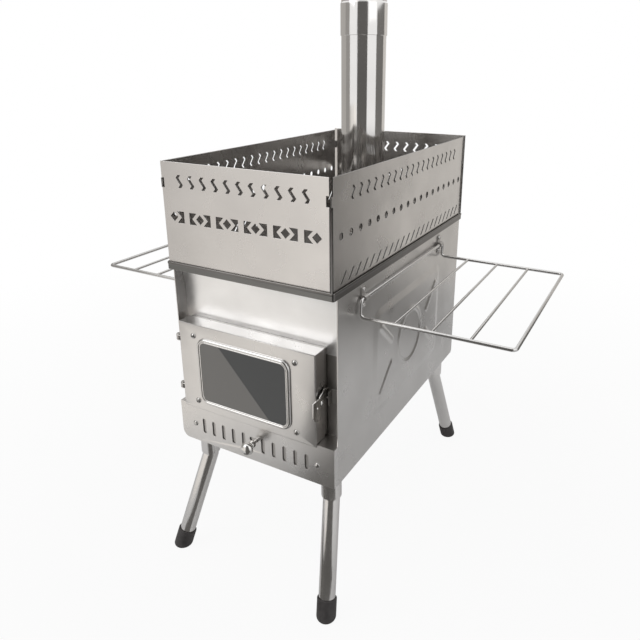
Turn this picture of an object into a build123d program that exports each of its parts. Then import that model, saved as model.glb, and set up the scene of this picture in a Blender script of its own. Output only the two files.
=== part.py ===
from build123d import *
import math
import os

# Camping wood stove: a sheet steel firebox on four plug-in legs, with a hinged
# glass door, a sliding air damper, two folding wire shelves, a perforated
# windshield standing in the rim of the cooking deck, and a two-piece flue.
# Millimetres. X is to the right, Y to the rear, Z up. The origin is on the
# floor, midway between the four feet.

# Firebox
BODY_WIDTH = 220.0
BODY_LENGTH = 380.0
BODY_HEIGHT = 223.2
GROUND_CLEARANCE = 169.0
BODY_SETBACK = 4.0
SHEET = 1.0
REAR_CORNER_RADIUS = 5.0
PAN_RECESS = 1.0
PAN_FLANGE_HEIGHT = 12.0
SLIDE_GAP = 0.5
FIT = 0.06
TOUCH_GAP = 0.4

# Pressed shape of the side panels
PRESS_LENGTH = 216.0
PRESS_HEIGHT = 140.0
PRESS_RADIUS = 16.0
PRESS_SETBACK = 192.0
PRESS_DROP = 115.2
PRESS_STEP = 1.5
RIB_STEP = 1.2
RIB_WIDTH = 10.0
RIB_OUTER = (89.0, 45.0)
RIB_INNER = (58.0, 16.5)
RING_RADIUS = 40.0
RING_WIDTH = 7.0

# Cooking deck with its raised rim
RIM_FRONT_OVERHANG = 8.8
RIM_REAR_OVERHANG = 8.0
RIM_SIDE_OVERHANG = 1.2
RIM_HEIGHT = 9.2
HEM_WIDTH = 1.8
HEM_HEIGHT = 3.0

# Front hood, front wall and lower front panel
HOOD_SETBACK_TOP = 9.5
HOOD_SETBACK = 16.0
HOOD_BEND_DROP = 38.2
HOOD_HEIGHT = 72.7
WALL_TOP_DROP = 62.2
LIP_PROJECTION = 8.1
LIP_HEIGHT = 50.5
LIP_LEFT_RADIUS = 10.0
LIP_RIGHT_RADIUS = 1.5
AIR_OPENING_INSET = 30.0
AIR_OPENING_HEIGHT = 26.0

# Air damper behind the lower front panel
SLOTS_PER_SIDE = 5
SLOT_FIRST = 14.0
SLOT_LAST_INSET = 36.0
SLOT_WIDTH = 5.0
SLOT_HEIGHT = 20.0
SLOT_LEVEL = 24.0
DAMPER_HEIGHT = 32.0
DAMPER_RIVET_INSET = 22.0
RIVET_RADIUS = 1.6
RIVET_HEAD_RADIUS = 3.5
RIVET_HEAD_HEIGHT = 1.9
KNOB_X = 5.0
KNOB_LEVEL = 29.0
KNOB_SHAFT_RADIUS = 2.0
KNOB_COLLAR_RADIUS = 4.4
KNOB_COLLAR_FRONT = 11.5
KNOB_HEAD_RADIUS = 7.8
KNOB_HEAD_DEPTH = 10.6
KNOB_CROWN = 6.2
KNOB_REACH = 24.0

# Door
DOOR_LEFT_INSET = 9.5
DOOR_RIGHT_INSET = 22.0
DOOR_TOP_DROP = 63.2
DOOR_OVERLAP = 2.8
DOOR_PROJECTION = 9.4
DOOR_FLANGE_END = 9.6
DOOR_PAN_START = 3.0
DOOR_PAN_RIM = 12.0
DOOR_OPENING_RADIUS = 6.0
WINDOW_SHIFT = -1.95
WINDOW_DROP = 3.35
WINDOW_SIDE_MARGIN = 34.75
WINDOW_END_MARGIN = 16.25
WINDOW_RADIUS = 7.0
BEZEL_WIDTH = 5.4
BEZEL_HEIGHT = 3.4
BEZEL_SLOPE = 40.0
BEZEL_FLANGE = 1.0
GLASS_MARGIN = 1.6
GLASS_THICKNESS = 3.0
BACKING_MARGIN = 5.0
DOOR_SCREW_OUT = 11.2
DOOR_SCREW_UP = 5.0
SCREW_RADIUS = 2.0
SCREW_HEAD_RADIUS = 3.6
SCREW_HEAD_HEIGHT = 2.4
NUT_WIDTH = 7.0
NUT_HEIGHT = 3.0

# Door hinges
HINGE_INSET = 3.3
HINGE_PROJECTION = 4.2
HINGE_BELOW_TOP = 23.5
HINGE_ABOVE_BOTTOM = 20.0
HINGE_LOOP_HEIGHT = 4.6
HINGE_LOOP_RADIUS = 3.2
HINGE_PIN_RADIUS = 1.5
HINGE_PIN_HEAD = 0.9
LUG_THICKNESS = 1.0

# Door latch
LATCH_GAP = 2.0
LATCH_THICKNESS = 1.2
LATCH_PIVOT_Y = -1.0
LATCH_DROP = 4.75
LATCH_LIFT = 30.0
LATCH_TAB_FRONT = 18.3
LATCH_TAB_BACK = 4.5
LATCH_TAB_TOP = 7.5
LATCH_TAB_BOTTOM = 17.7
LATCH_TAB_RADIUS = 9.0
LATCH_EYE_FRONT = 9.8
LATCH_EYE_DROP = 2.0
LATCH_EYE_RADIUS = 1.2
LATCH_PIN_RADIUS = 2.0
KEEPER_PIN_RADIUS = 1.6
KEEPER_REACH = 5.0
KEEPER_GAP = 3.0

# Legs, sockets and feet
SOCKET_SIDE_INSET = 19.0
SOCKET_END_INSET = 22.0
SOCKET_RADIUS = 12.0
SOCKET_DEPTH = 30.0
SOCKET_PLATE = 34.0
SOCKET_PLATE_THICKNESS = 2.5
LEG_RADIUS = 10.0
LEG_WALL = 1.2
LEG_BEND_RADIUS = 14.0
LEG_BEND_BELOW = 3.0
LEG_SPLAY = 47.0
LEG_TURN_FRONT_LEFT = 40.0
LEG_TURN_REAR_LEFT = 30.0
LEG_TURN_RIGHT = 21.0
FOOT_RADIUS = 11.7
FOOT_LENGTH = 25.0
FOOT_BASE = 7.5
FOOT_ROUNDING = 4.0

# Folding wire shelves
SHELF_REACH = 170.0
SHELF_FRONT = 46.0
SHELF_LENGTH = 254.0
SHELF_DROP = 35.7
SHELF_HINGE_DROP = 15.7
LEFT_SHELF_SETBACK = 5.0
LEFT_SHELF_DROP = 4.5
SHELF_HINGE_OUT = 3.5
WIRE_RADIUS = 2.0
BAR_RADIUS = 1.6
WIRE_BEND_RADIUS = 5.0
SHELF_BARS = (42.0, 83.5, 125.0)
CLIP_INSET = 10.0
CLIP_WIDTH = 9.0
CLIP_HEIGHT = 26.0
CLIP_THICKNESS = 1.2
CLIP_RIVET_OFFSET = 9.0
CLIP_RIVET_HEAD = 2.6

# Windshield standing in the rim
SHIELD_SHEET = 1.5
SHIELD_SIDE_INSET = 1.5
SHIELD_FRONT_OVERHANG = 6.2
SHIELD_REAR_OVERHANG = 4.9
SHIELD_TOP = 124.3
SHIELD_REAR_RISE = 2.1
SHIELD_REAR_GAP = 5.0
SHIELD_EAR = 1.8
FRONT_SHIELD_INSET = 3.05
FRONT_SHIELD_SHIFT = -2.1
TAB_HEIGHT = 10.5
TAB_REACH = 1.5
TAB_LEVEL = 100.8
TAB_GAP = 0.2
TAB_NOTCH = 3.0
CREST_LEVEL = 103.5
CREST_FRONT_COUNT = 11
CREST_FRONT_PITCH = 16.26
CREST_SIDE_COUNT = 19
CREST_SIDE_PITCH = 17.1
CREST_WIDTH = 3.8
CREST_REACH = 2.85
CREST_BEND_RISE = 3.75
CREST_END_RISE = 7.05
DIAMOND_LEVEL = 63.3
DIAMOND_COUNT = 6
DIAMOND_PITCH = 37.2
DIAMOND_HALF = 5.5
BLOCK_INNER = 4.8
BLOCK_APEX = 11.0
BLOCK_OUTER = 14.7
BLOCK_HALF_HEIGHT = 6.6
HOLE_COUNT = 18
HOLE_PITCH = 21.0
HOLE_RADIUS = 4.0
SLASH_LEVEL = 18.8
SLASH_COUNT = 22
SLASH_PITCH = 16.6
SLASH_WIDTH = 4.6
SLASH_LEAN = 5.5
SLASH_RISE = 6.0

# Flue
FLUE_SETBACK = 268.8
FLUE_RADIUS = 30.0
FLUE_WALL = 1.0
COLLAR_HEIGHT = 40.0
COLLAR_FLANGE_RADIUS = 43.0
COLLAR_FLANGE_THICKNESS = 1.2
COLLAR_RIVET_COUNT = 6
BELL_LEVEL = 260.8
BELL_LENGTH = 40.0
UPPER_FLUE_LENGTH = 340.0

# Fire grate
GRATE_SIDE_GAP = 9.0
GRATE_FRONT = 44.0
GRATE_LENGTH = 300.0
GRATE_THICKNESS = 2.0
GRATE_HEIGHT = 16.0
GRATE_SLOT_WIDTH = 7.0
GRATE_SLOT_LENGTH = 74.0
GRATE_SLOT_PITCH = 20.0

# Levels and faces that follow from the sizes above
HALF = BODY_WIDTH / 2
INNER = HALF - SHEET
FRONT = BODY_SETBACK - BODY_LENGTH / 2
REAR = FRONT + BODY_LENGTH
BOTTOM = GROUND_CLEARANCE
DECK = GROUND_CLEARANCE + BODY_HEIGHT
DECK_TOP = DECK + SHEET
PAN_BOTTOM = BOTTOM + PAN_RECESS
PAN_TOP = PAN_BOTTOM + SHEET
WALL_FRONT = FRONT + HOOD_SETBACK + SHEET
WALL_REAR = WALL_FRONT + SHEET
LIP_FRONT = FRONT - LIP_PROJECTION
LIP_BACK = LIP_FRONT + SHEET
LIP_TOP = BOTTOM + LIP_HEIGHT
SLOT_Z = BOTTOM + SLOT_LEVEL
SLOT_PITCH = (HALF - SLOT_LAST_INSET - SLOT_FIRST) / (SLOTS_PER_SIDE - 1)
DAMPER_TRAVEL = SLOT_PITCH / 2
DAMPER_RIVET_X = HALF - DAMPER_RIVET_INSET
KNOB_Z = BOTTOM + KNOB_LEVEL
DOOR_LEFT = DOOR_LEFT_INSET - HALF
DOOR_RIGHT = HALF - DOOR_RIGHT_INSET
DOOR_FRONT = FRONT - DOOR_PROJECTION
DOOR_SKIN_BACK = DOOR_FRONT + SHEET
DOOR_TOP = DECK - DOOR_TOP_DROP
DOOR_SKIN_BOTTOM = LIP_TOP - DOOR_OVERLAP
DOOR_BOTTOM = LIP_TOP + SHEET
DOOR_MIDDLE = (DOOR_TOP + DOOR_BOTTOM) / 2
DOOR_BACK = FRONT + HOOD_SETBACK - TOUCH_GAP
FLUE_Y = FRONT + FLUE_SETBACK
SOCKET_X = HALF - SOCKET_SIDE_INSET
SOCKET_Y = BODY_LENGTH / 2 - SOCKET_END_INSET
SHIELD_HALF_WIDTH = HALF - SHIELD_SIDE_INSET
SHIELD_FRONT = FRONT - SHIELD_FRONT_OVERHANG
SHIELD_REAR = REAR + SHIELD_REAR_OVERHANG
SHIELD_INNER = SHIELD_HALF_WIDTH - SHIELD_SHEET

parts = {}


def block(x0, x1, y0, y1, z0, z1):
    """A box between two opposite corners."""
    centre = Pos((x0 + x1) / 2, (y0 + y1) / 2, (z0 + z1) / 2)
    return centre * Box(x1 - x0, y1 - y0, z1 - z0)


def rod_x(radius, x0, x1, y, z):
    """A round bar along X."""
    return Pos((x0 + x1) / 2, y, z) * Rot(0, 90, 0) * Cylinder(radius, x1 - x0)


def rod_y(radius, y0, y1, x, z):
    """A round bar along Y."""
    return Pos(x, (y0 + y1) / 2, z) * Rot(90, 0, 0) * Cylinder(radius, y1 - y0)


def rod_z(radius, z0, z1, x, y):
    """A round bar along Z."""
    return Pos(x, y, (z0 + z1) / 2) * Cylinder(radius, z1 - z0)


def tube_z(outer, inner, z0, z1, x, y):
    """An upright tube."""
    return rod_z(outer, z0, z1, x, y) - rod_z(inner, z0 - 1, z1 + 1, x, y)


def front_plane(y):
    """Sketch plane seen from the front: sketch X is X and sketch Y is Z."""
    return Plane(origin=(0, y, 0), x_dir=(1, 0, 0), z_dir=(0, -1, 0))


def side_plane(x):
    """Sketch plane seen from the right: sketch X is Y and sketch Y is Z."""
    return Plane(origin=(x, 0, 0), x_dir=(0, 1, 0), z_dir=(1, 0, 0))


def plate_y(sketch, y0, y1):
    """A flat plate between two Y levels, drawn as seen from the front."""
    return extrude(front_plane(y1) * sketch, amount=y1 - y0)


def plate_x(sketch, x0, x1):
    """A flat plate between two X levels, drawn as seen from the right."""
    return extrude(side_plane(x0) * sketch, amount=x1 - x0)


def rect(x0, x1, z0, z1):
    """A rectangle between two corners of a sketch."""
    return Pos((x0 + x1) / 2, (z0 + z1) / 2) * Rectangle(x1 - x0, z1 - z0)


def round_rect(x0, x1, z0, z1, radius):
    """A rectangle with rounded corners between two corners of a sketch."""
    return Pos((x0 + x1) / 2, (z0 + z1) / 2) * RectangleRounded(x1 - x0, z1 - z0, radius)


def upright_slot(x, z, width, height):
    """An upright slot with round ends."""
    return Pos(x, z) * Rot(0, 0, 90) * SlotOverall(height, width)


def flat_slot(x0, x1, z, width):
    """A level slot with round ends."""
    return Pos((x0 + x1) / 2, z) * SlotOverall(x1 - x0, width)


def dome(radius, height):
    """A low round head that stands on the XY plane."""
    ball_radius = (radius**2 + height**2) / (2 * height)
    ball = Pos(0, 0, height - ball_radius) * Sphere(ball_radius)
    return ball & Pos(0, 0, height / 2) * Cylinder(radius, height)


def row(count, pitch):
    """Places of a row of equal steps, centred on zero."""
    return [(i - (count - 1) / 2) * pitch for i in range(count)]


def both_sides(shape):
    """The shape with its mirror image across the middle of the stove."""
    return [shape, mirror(shape, about=Plane.YZ)]


# Side panels


def press_outline(shrink):
    """The rounded rectangle that is pressed out of a side panel."""
    y = FRONT + PRESS_SETBACK
    z = DECK - PRESS_DROP
    length = PRESS_LENGTH - 2 * shrink
    height = PRESS_HEIGHT - 2 * shrink
    return Pos(y, z) * RectangleRounded(length, height, PRESS_RADIUS - shrink)


def press_ribs(shrink):
    """Four slanted ribs between the ring and the corners."""
    ribs = []
    run = RIB_OUTER[0] - RIB_INNER[0]
    rise = RIB_OUTER[1] - RIB_INNER[1]
    length = math.hypot(run, rise) + RIB_WIDTH
    angle = math.degrees(math.atan2(rise, run))
    for side in (-1, 1):
        for up in (-1, 1):
            y = FRONT + PRESS_SETBACK + side * (RIB_OUTER[0] + RIB_INNER[0]) / 2
            z = DECK - PRESS_DROP + up * (RIB_OUTER[1] + RIB_INNER[1]) / 2
            slot = SlotOverall(length - 2 * shrink, RIB_WIDTH - 2 * shrink)
            ribs.append(Pos(y, z) * Rot(0, 0, side * up * angle) * slot)
    return ribs


def press_ring(x, height, shrink):
    """The round bead in the middle of the pressing."""
    outer = RING_RADIUS - shrink
    inner = RING_RADIUS - RING_WIDTH + shrink
    place = Pos(x, FRONT + PRESS_SETBACK, DECK - PRESS_DROP) * Rot(0, 90, 0)
    upward = (Align.CENTER, Align.CENTER, Align.MIN)
    rim = Cone(outer, outer - height, height, align=upward)
    return place * (rim - Cone(inner, inner + height, height, align=upward))


def side_panel():
    """The right side panel: one sheet with its pressed step, ribs and ring."""
    flat = rect(FRONT, REAR, BOTTOM, DECK)
    low_corners = flat.vertices().group_by(Axis.Y)[0].sort_by(Axis.X)
    flat = fillet(low_corners[-1], REAR_CORNER_RADIUS)
    panel = plate_x(flat, INNER, HALF)
    panel += extrude(side_plane(HALF) * press_outline(0), amount=PRESS_STEP, taper=45)
    crown = HALF + PRESS_STEP
    for rib in press_ribs(0):
        panel += extrude(side_plane(crown) * rib, amount=RIB_STEP, taper=45)
    panel += press_ring(crown, RIB_STEP, 0)
    panel -= extrude(side_plane(INNER) * press_outline(SHEET), amount=PRESS_STEP, taper=45)
    hollow = INNER + PRESS_STEP
    for rib in press_ribs(SHEET):
        panel -= extrude(side_plane(hollow) * rib, amount=RIB_STEP, taper=45)
    panel -= press_ring(hollow, RIB_STEP, SHEET)
    return panel


parts["side_panel_right"] = side_panel()
parts["side_panel_left"] = mirror(side_panel(), about=Plane.YZ)

# Floor pan and rear panel


def bottom_pan():
    """The floor of the firebox, with a low flange up each side panel."""
    pan = block(-INNER, INNER, WALL_REAR, REAR - SHEET, PAN_BOTTOM, PAN_TOP)
    flange_top = PAN_TOP + PAN_FLANGE_HEIGHT
    flange = block(INNER - SHEET, INNER, WALL_REAR, REAR - SHEET, PAN_TOP, flange_top)
    for side_flange in both_sides(flange):
        pan += side_flange
    return pan


def rear_panel():
    """The back of the firebox, with a plain pressed field."""
    panel = block(-INNER, INNER, REAR - SHEET, REAR, BOTTOM, DECK)
    width = BODY_WIDTH - BODY_HEIGHT + PRESS_HEIGHT
    field = Pos(0, DECK - PRESS_DROP) * RectangleRounded(width, PRESS_HEIGHT, PRESS_RADIUS)
    inside = Pos(0, DECK - PRESS_DROP) * RectangleRounded(
        width - 2 * SHEET, PRESS_HEIGHT - 2 * SHEET, PRESS_RADIUS - SHEET
    )
    back_plane = Plane(origin=(0, REAR, 0), x_dir=(-1, 0, 0), z_dir=(0, 1, 0))
    panel += extrude(back_plane * field, amount=PRESS_STEP, taper=45)
    panel -= extrude(back_plane.offset(-SHEET) * inside, amount=PRESS_STEP, taper=45)
    return panel


parts["bottom_pan"] = bottom_pan()
parts["rear_panel"] = rear_panel()

# Cooking deck


def deck_outline(shrink):
    """The plan of the rim, drawn in by the given amount."""
    x = HALF + RIM_SIDE_OVERHANG - shrink
    y0 = FRONT - RIM_FRONT_OVERHANG + shrink
    y1 = REAR + RIM_REAR_OVERHANG - shrink
    return rect(-x, x, y0, y1)


def top_deck():
    """The cooking deck: a shallow tray with a hemmed rim and the flue hole."""
    tray = extrude(Pos(0, 0, DECK) * deck_outline(0), amount=RIM_HEIGHT)
    tray = fillet(tray.edges().filter_by(Axis.Z), 2 * SHEET)
    tray -= extrude(Pos(0, 0, DECK_TOP) * deck_outline(HEM_WIDTH), amount=RIM_HEIGHT)
    under_hem = DECK + RIM_HEIGHT - HEM_HEIGHT
    relief = extrude(Pos(0, 0, DECK_TOP) * deck_outline(SHEET), amount=under_hem - DECK_TOP)
    tray -= relief
    tray -= rod_z(flue_bore_radius(), DECK - 1, DECK_TOP + 1, 0, FLUE_Y)
    return tray


def flue_bore_radius():
    """Inside radius of the flue collar."""
    return FLUE_RADIUS - 2 * FLUE_WALL - FIT


parts["top_deck"] = top_deck()

# Front hood and front wall


def front_hood():
    """The curved panel between the rim and the door, set back as it drops."""
    face = FRONT + HOOD_SETBACK
    knee = DECK - HOOD_BEND_DROP
    lean = HOOD_SETBACK - HOOD_SETBACK_TOP
    radius = (HOOD_BEND_DROP**2 + lean**2) / (2 * lean)
    bend = Pos(face - radius, knee) * (Circle(radius + SHEET) - Circle(radius))
    sheet = bend & rect(FRONT, face + SHEET, knee, DECK)
    sheet += rect(face, face + SHEET, DECK - HOOD_HEIGHT, knee)
    return plate_x(sheet, -INNER, INNER)


def door_opening():
    """The hole that the door covers."""
    left = DOOR_LEFT + DOOR_PAN_RIM
    right = DOOR_RIGHT - DOOR_PAN_RIM
    low = DOOR_BOTTOM + DOOR_PAN_RIM
    high = DOOR_TOP - DOOR_PAN_RIM
    return round_rect(left, right, low, high, DOOR_OPENING_RADIUS)


def front_wall():
    """The wall behind the door, with the door opening and the air opening."""
    sheet = rect(-INNER, INNER, PAN_BOTTOM, DECK - WALL_TOP_DROP)
    sheet -= door_opening()
    half = HALF - AIR_OPENING_INSET
    rise = AIR_OPENING_HEIGHT / 2
    sheet -= round_rect(-half, half, SLOT_Z - rise, SLOT_Z + rise, DOOR_OPENING_RADIUS)
    return plate_y(sheet, WALL_FRONT, WALL_REAR)


parts["front_hood"] = front_hood()
parts["front_wall"] = front_wall()

# Lower front panel and air damper


def lip_outline(shrink):
    """Outline of the lower front panel, with its one large corner."""
    outer = rect(-HALF + shrink, HALF - shrink, BOTTOM + shrink, LIP_TOP - shrink)
    low = outer.vertices().group_by(Axis.Y)[0].sort_by(Axis.X)
    outer = fillet(low[0], LIP_LEFT_RADIUS - shrink)
    low = outer.vertices().group_by(Axis.Y)[0].sort_by(Axis.X)
    return fillet(low[-1], LIP_RIGHT_RADIUS - shrink)


def slot_places():
    """The X places of the air slots, left to right."""
    steps = [SLOT_FIRST + i * SLOT_PITCH for i in range(SLOTS_PER_SIDE)]
    return [-x for x in reversed(steps)] + steps


def lower_front_panel():
    """The slotted front of the air box, closed on all sides but the rear."""
    face = lip_outline(0)
    for x in slot_places():
        face -= upright_slot(x, SLOT_Z, SLOT_WIDTH, SLOT_HEIGHT)
    reach = KNOB_SHAFT_RADIUS + SLIDE_GAP
    face -= flat_slot(KNOB_X - DAMPER_TRAVEL - reach, KNOB_X + reach, KNOB_Z, 2 * reach)
    for x in (-DAMPER_RIVET_X, DAMPER_RIVET_X):
        face -= Pos(x, SLOT_Z) * Circle(RIVET_RADIUS)
    panel = plate_y(face, LIP_FRONT, LIP_BACK)
    panel += plate_y(lip_outline(0) - lip_outline(SHEET), LIP_BACK, FRONT)
    panel += block(-INNER, INNER, LIP_BACK, WALL_FRONT, LIP_TOP - SHEET, LIP_TOP)
    shelf_left = -HALF + LIP_LEFT_RADIUS
    shelf_right = HALF - LIP_RIGHT_RADIUS
    panel += block(shelf_left, shelf_right, LIP_BACK, WALL_FRONT, PAN_BOTTOM, PAN_TOP)
    return panel


DAMPER_FRONT = LIP_BACK + SLIDE_GAP
DAMPER_BACK = DAMPER_FRONT + SHEET
GUIDE_REACH = RIVET_RADIUS + SLIDE_GAP / 2


def air_damper():
    """The sliding plate, drawn closed: its slots lie between those in front."""
    margin = GUIDE_REACH + 2 * RIVET_RADIUS
    left = -DAMPER_RIVET_X - margin
    right = DAMPER_RIVET_X + DAMPER_TRAVEL + margin
    sheet = rect(left, right, SLOT_Z - DAMPER_HEIGHT / 2, SLOT_Z + DAMPER_HEIGHT / 2)
    for x in slot_places():
        sheet -= upright_slot(x + DAMPER_TRAVEL, SLOT_Z, SLOT_WIDTH + SLIDE_GAP, SLOT_HEIGHT)
    for x in (-DAMPER_RIVET_X, DAMPER_RIVET_X):
        sheet -= flat_slot(x - GUIDE_REACH, x + DAMPER_TRAVEL + GUIDE_REACH, SLOT_Z, 2 * GUIDE_REACH)
    sheet -= Pos(KNOB_X, KNOB_Z) * Circle(KNOB_SHAFT_RADIUS)
    return plate_y(sheet, DAMPER_FRONT, DAMPER_BACK)


def damper_rivets():
    """Two shouldered rivets that hold the damper behind the front panel."""
    rivets = []
    washer_front = DAMPER_BACK + SLIDE_GAP
    for x in (-DAMPER_RIVET_X, DAMPER_RIVET_X):
        place = Pos(x, LIP_FRONT, SLOT_Z)
        head = place * Rot(90, 0, 0) * dome(RIVET_HEAD_RADIUS, RIVET_HEAD_HEIGHT)
        shank = rod_y(RIVET_RADIUS, LIP_FRONT, washer_front + SHEET, x, SLOT_Z)
        washer = rod_y(RIVET_HEAD_RADIUS, washer_front, washer_front + SHEET, x, SLOT_Z)
        rivets.append(head + shank + washer)
    return Compound(children=rivets)


def damper_knob():
    """Mushroom knob on a threaded shaft with a collar."""
    start = LIP_FRONT - DAMPER_BACK - NUT_HEIGHT
    neck = KNOB_REACH - KNOB_HEAD_DEPTH
    crown = KNOB_REACH - KNOB_CROWN
    upward = (Align.CENTER, Align.CENTER, Align.MIN)
    shaft = Pos(0, 0, start) * Cylinder(KNOB_SHAFT_RADIUS, crown - start, align=upward)
    collar = Cylinder(KNOB_COLLAR_RADIUS, KNOB_COLLAR_RADIUS, align=upward)
    knob = shaft + Pos(0, 0, KNOB_COLLAR_FRONT - KNOB_COLLAR_RADIUS) * collar
    flare = Cone(KNOB_SHAFT_RADIUS, KNOB_HEAD_RADIUS, crown - neck, align=upward)
    knob += Pos(0, 0, neck) * flare
    knob += Pos(0, 0, crown) * dome(KNOB_HEAD_RADIUS, KNOB_CROWN)
    return Pos(KNOB_X, LIP_FRONT, KNOB_Z) * Rot(90, 0, 0) * knob


def hex_nut_y(x, z, y, bore):
    """A hexagon nut whose front face lies at y."""
    hexagon = Pos(x, z) * RegularPolygon(NUT_WIDTH / 2, 6, major_radius=False)
    return plate_y(hexagon - Pos(x, z) * Circle(bore), y, y + NUT_HEIGHT)


parts["lower_front_panel"] = lower_front_panel()
parts["damper_rivets"] = damper_rivets()
parts["air_damper"] = air_damper()
parts["damper_knob"] = damper_knob()
parts["damper_nut"] = hex_nut_y(KNOB_X, KNOB_Z, DAMPER_BACK, KNOB_SHAFT_RADIUS)

# Door

WINDOW_X = (DOOR_LEFT + DOOR_RIGHT) / 2 + WINDOW_SHIFT
WINDOW_Z = DOOR_MIDDLE - WINDOW_DROP
WINDOW_WIDTH = DOOR_RIGHT - DOOR_LEFT - 2 * WINDOW_SIDE_MARGIN
WINDOW_HEIGHT = DOOR_TOP - DOOR_BOTTOM - 2 * WINDOW_END_MARGIN
DOOR_SCREW_X = WINDOW_WIDTH / 2 + DOOR_SCREW_OUT
DOOR_SCREW_Z = WINDOW_HEIGHT / 2 + DOOR_SCREW_UP
SCREW_PLACES = [
    (WINDOW_X + sx * DOOR_SCREW_X, WINDOW_Z + sz * DOOR_SCREW_Z)
    for sx in (-1, 1)
    for sz in (-1, 1)
]


def window(grow):
    """The window's outline, grown by the given margin."""
    width = WINDOW_WIDTH + 2 * grow
    height = WINDOW_HEIGHT + 2 * grow
    return Pos(WINDOW_X, WINDOW_Z) * RectangleRounded(width, height, WINDOW_RADIUS + grow)


def screw_holes():
    """The four screw holes around the window."""
    return [Pos(x, z) * Circle(SCREW_RADIUS) for x, z in SCREW_PLACES]


def door_shell():
    """The outer door skin, folded back on four sides."""
    skin = rect(DOOR_LEFT, DOOR_RIGHT, DOOR_SKIN_BOTTOM, DOOR_TOP) - window(GLASS_MARGIN)
    for hole in screw_holes():
        skin -= hole
    shell = plate_y(skin, DOOR_FRONT, DOOR_SKIN_BACK)
    flange = rect(DOOR_LEFT, DOOR_RIGHT, DOOR_BOTTOM, DOOR_TOP)
    flange -= rect(DOOR_LEFT + SHEET, DOOR_RIGHT - SHEET, DOOR_BOTTOM + SHEET, DOOR_TOP - SHEET)
    shell += plate_y(flange, DOOR_SKIN_BACK, FRONT + DOOR_FLANGE_END)
    return shell


def door_pan():
    """The inner door tray, nested in the outer skin."""
    left = DOOR_LEFT + SHEET
    right = DOOR_RIGHT - SHEET
    low = DOOR_BOTTOM + SHEET
    high = DOOR_TOP - SHEET
    outline = rect(left, right, low, high)
    wall = outline - rect(left + SHEET, right - SHEET, low + SHEET, high - SHEET)
    pan = plate_y(wall, FRONT + DOOR_PAN_START, DOOR_BACK)
    pan += plate_y(outline - door_opening(), DOOR_BACK - SHEET, DOOR_BACK)
    return pan


def door_gasket():
    """A flat rope seal on the back of the door, around the opening."""
    left = DOOR_LEFT + DOOR_PAN_RIM
    right = DOOR_RIGHT - DOOR_PAN_RIM
    low = DOOR_BOTTOM + DOOR_PAN_RIM
    high = DECK - HOOD_HEIGHT - TOUCH_GAP
    side = DOOR_PAN_RIM / 2
    outline = round_rect(left - side, right + side, low - side, high, DOOR_OPENING_RADIUS)
    ring = outline - door_opening()
    return plate_y(ring, DOOR_BACK, WALL_FRONT - TOUCH_GAP)


BEZEL_FRONT = DOOR_FRONT - BEZEL_HEIGHT
GLASS_FRONT = BEZEL_FRONT + BEZEL_FLANGE
GLASS_BACK = GLASS_FRONT + GLASS_THICKNESS
BACKING_BACK = DOOR_SKIN_BACK + SHEET


def window_bezel():
    """A raised frame with sloping sides; the glass lies inside it."""
    base = front_plane(DOOR_FRONT) * window(BEZEL_WIDTH)
    bezel = extrude(base, amount=BEZEL_HEIGHT, taper=BEZEL_SLOPE)
    bezel -= plate_y(window(0), BEZEL_FRONT - 1, DOOR_FRONT)
    return bezel - plate_y(window(GLASS_MARGIN), GLASS_FRONT, DOOR_FRONT)


def window_backing():
    """The frame that clamps the glass from inside."""
    half_width = DOOR_SCREW_X + BACKING_MARGIN
    half_height = DOOR_SCREW_Z + BACKING_MARGIN
    outline = Pos(WINDOW_X, WINDOW_Z) * RectangleRounded(
        2 * half_width, 2 * half_height, WINDOW_RADIUS
    )
    frame = outline - window(0)
    for hole in screw_holes():
        frame -= hole
    return plate_y(frame, DOOR_SKIN_BACK, BACKING_BACK)


def door_screws():
    """Four round-headed screws through the door skin and the window backing."""
    screws = []
    for x, z in SCREW_PLACES:
        head = Pos(x, DOOR_FRONT, z) * Rot(90, 0, 0) * dome(SCREW_HEAD_RADIUS, SCREW_HEAD_HEIGHT)
        end = BACKING_BACK + NUT_HEIGHT
        screws.append(head + rod_y(SCREW_RADIUS, DOOR_FRONT, end, x, z))
    return Compound(children=screws)


def door_nuts():
    """The nuts on the door screws."""
    return Compound(children=[hex_nut_y(x, z, BACKING_BACK, SCREW_RADIUS) for x, z in SCREW_PLACES])


parts["door_shell"] = door_shell()
parts["door_pan"] = door_pan()
parts["door_gasket"] = door_gasket()
parts["window_bezel"] = window_bezel()
parts["window_glass"] = plate_y(window(GLASS_MARGIN - TAB_GAP), GLASS_FRONT, GLASS_BACK)
parts["window_gasket"] = plate_y(window(GLASS_MARGIN) - window(0), GLASS_BACK, DOOR_SKIN_BACK)
parts["window_backing"] = window_backing()
parts["door_screws"] = door_screws()
parts["door_nuts"] = door_nuts()

# Door hinges

HINGE_X = HINGE_INSET - HALF
HINGE_Y = FRONT - HINGE_PROJECTION
HINGE_LEVELS = (DOOR_TOP - HINGE_BELOW_TOP, DOOR_BOTTOM + HINGE_ABOVE_BOTTOM)


def hinge_loops():
    """Two rolled loops on the front edge of the left side panel."""
    loops = []
    for level in HINGE_LEVELS:
        low = level - HINGE_LOOP_HEIGHT / 2
        high = level + HINGE_LOOP_HEIGHT / 2
        strap_back = FRONT + HOOD_SETBACK
        loop = rod_z(HINGE_LOOP_RADIUS, low, high, HINGE_X, HINGE_Y)
        loop += block(-INNER, SHEET - INNER, HINGE_Y, strap_back, low, high)
        loop -= rod_z(HINGE_PIN_RADIUS + FIT, low - 1, high + 1, HINGE_X, HINGE_Y)
        loops.append(loop)
    return Compound(children=loops)


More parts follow.
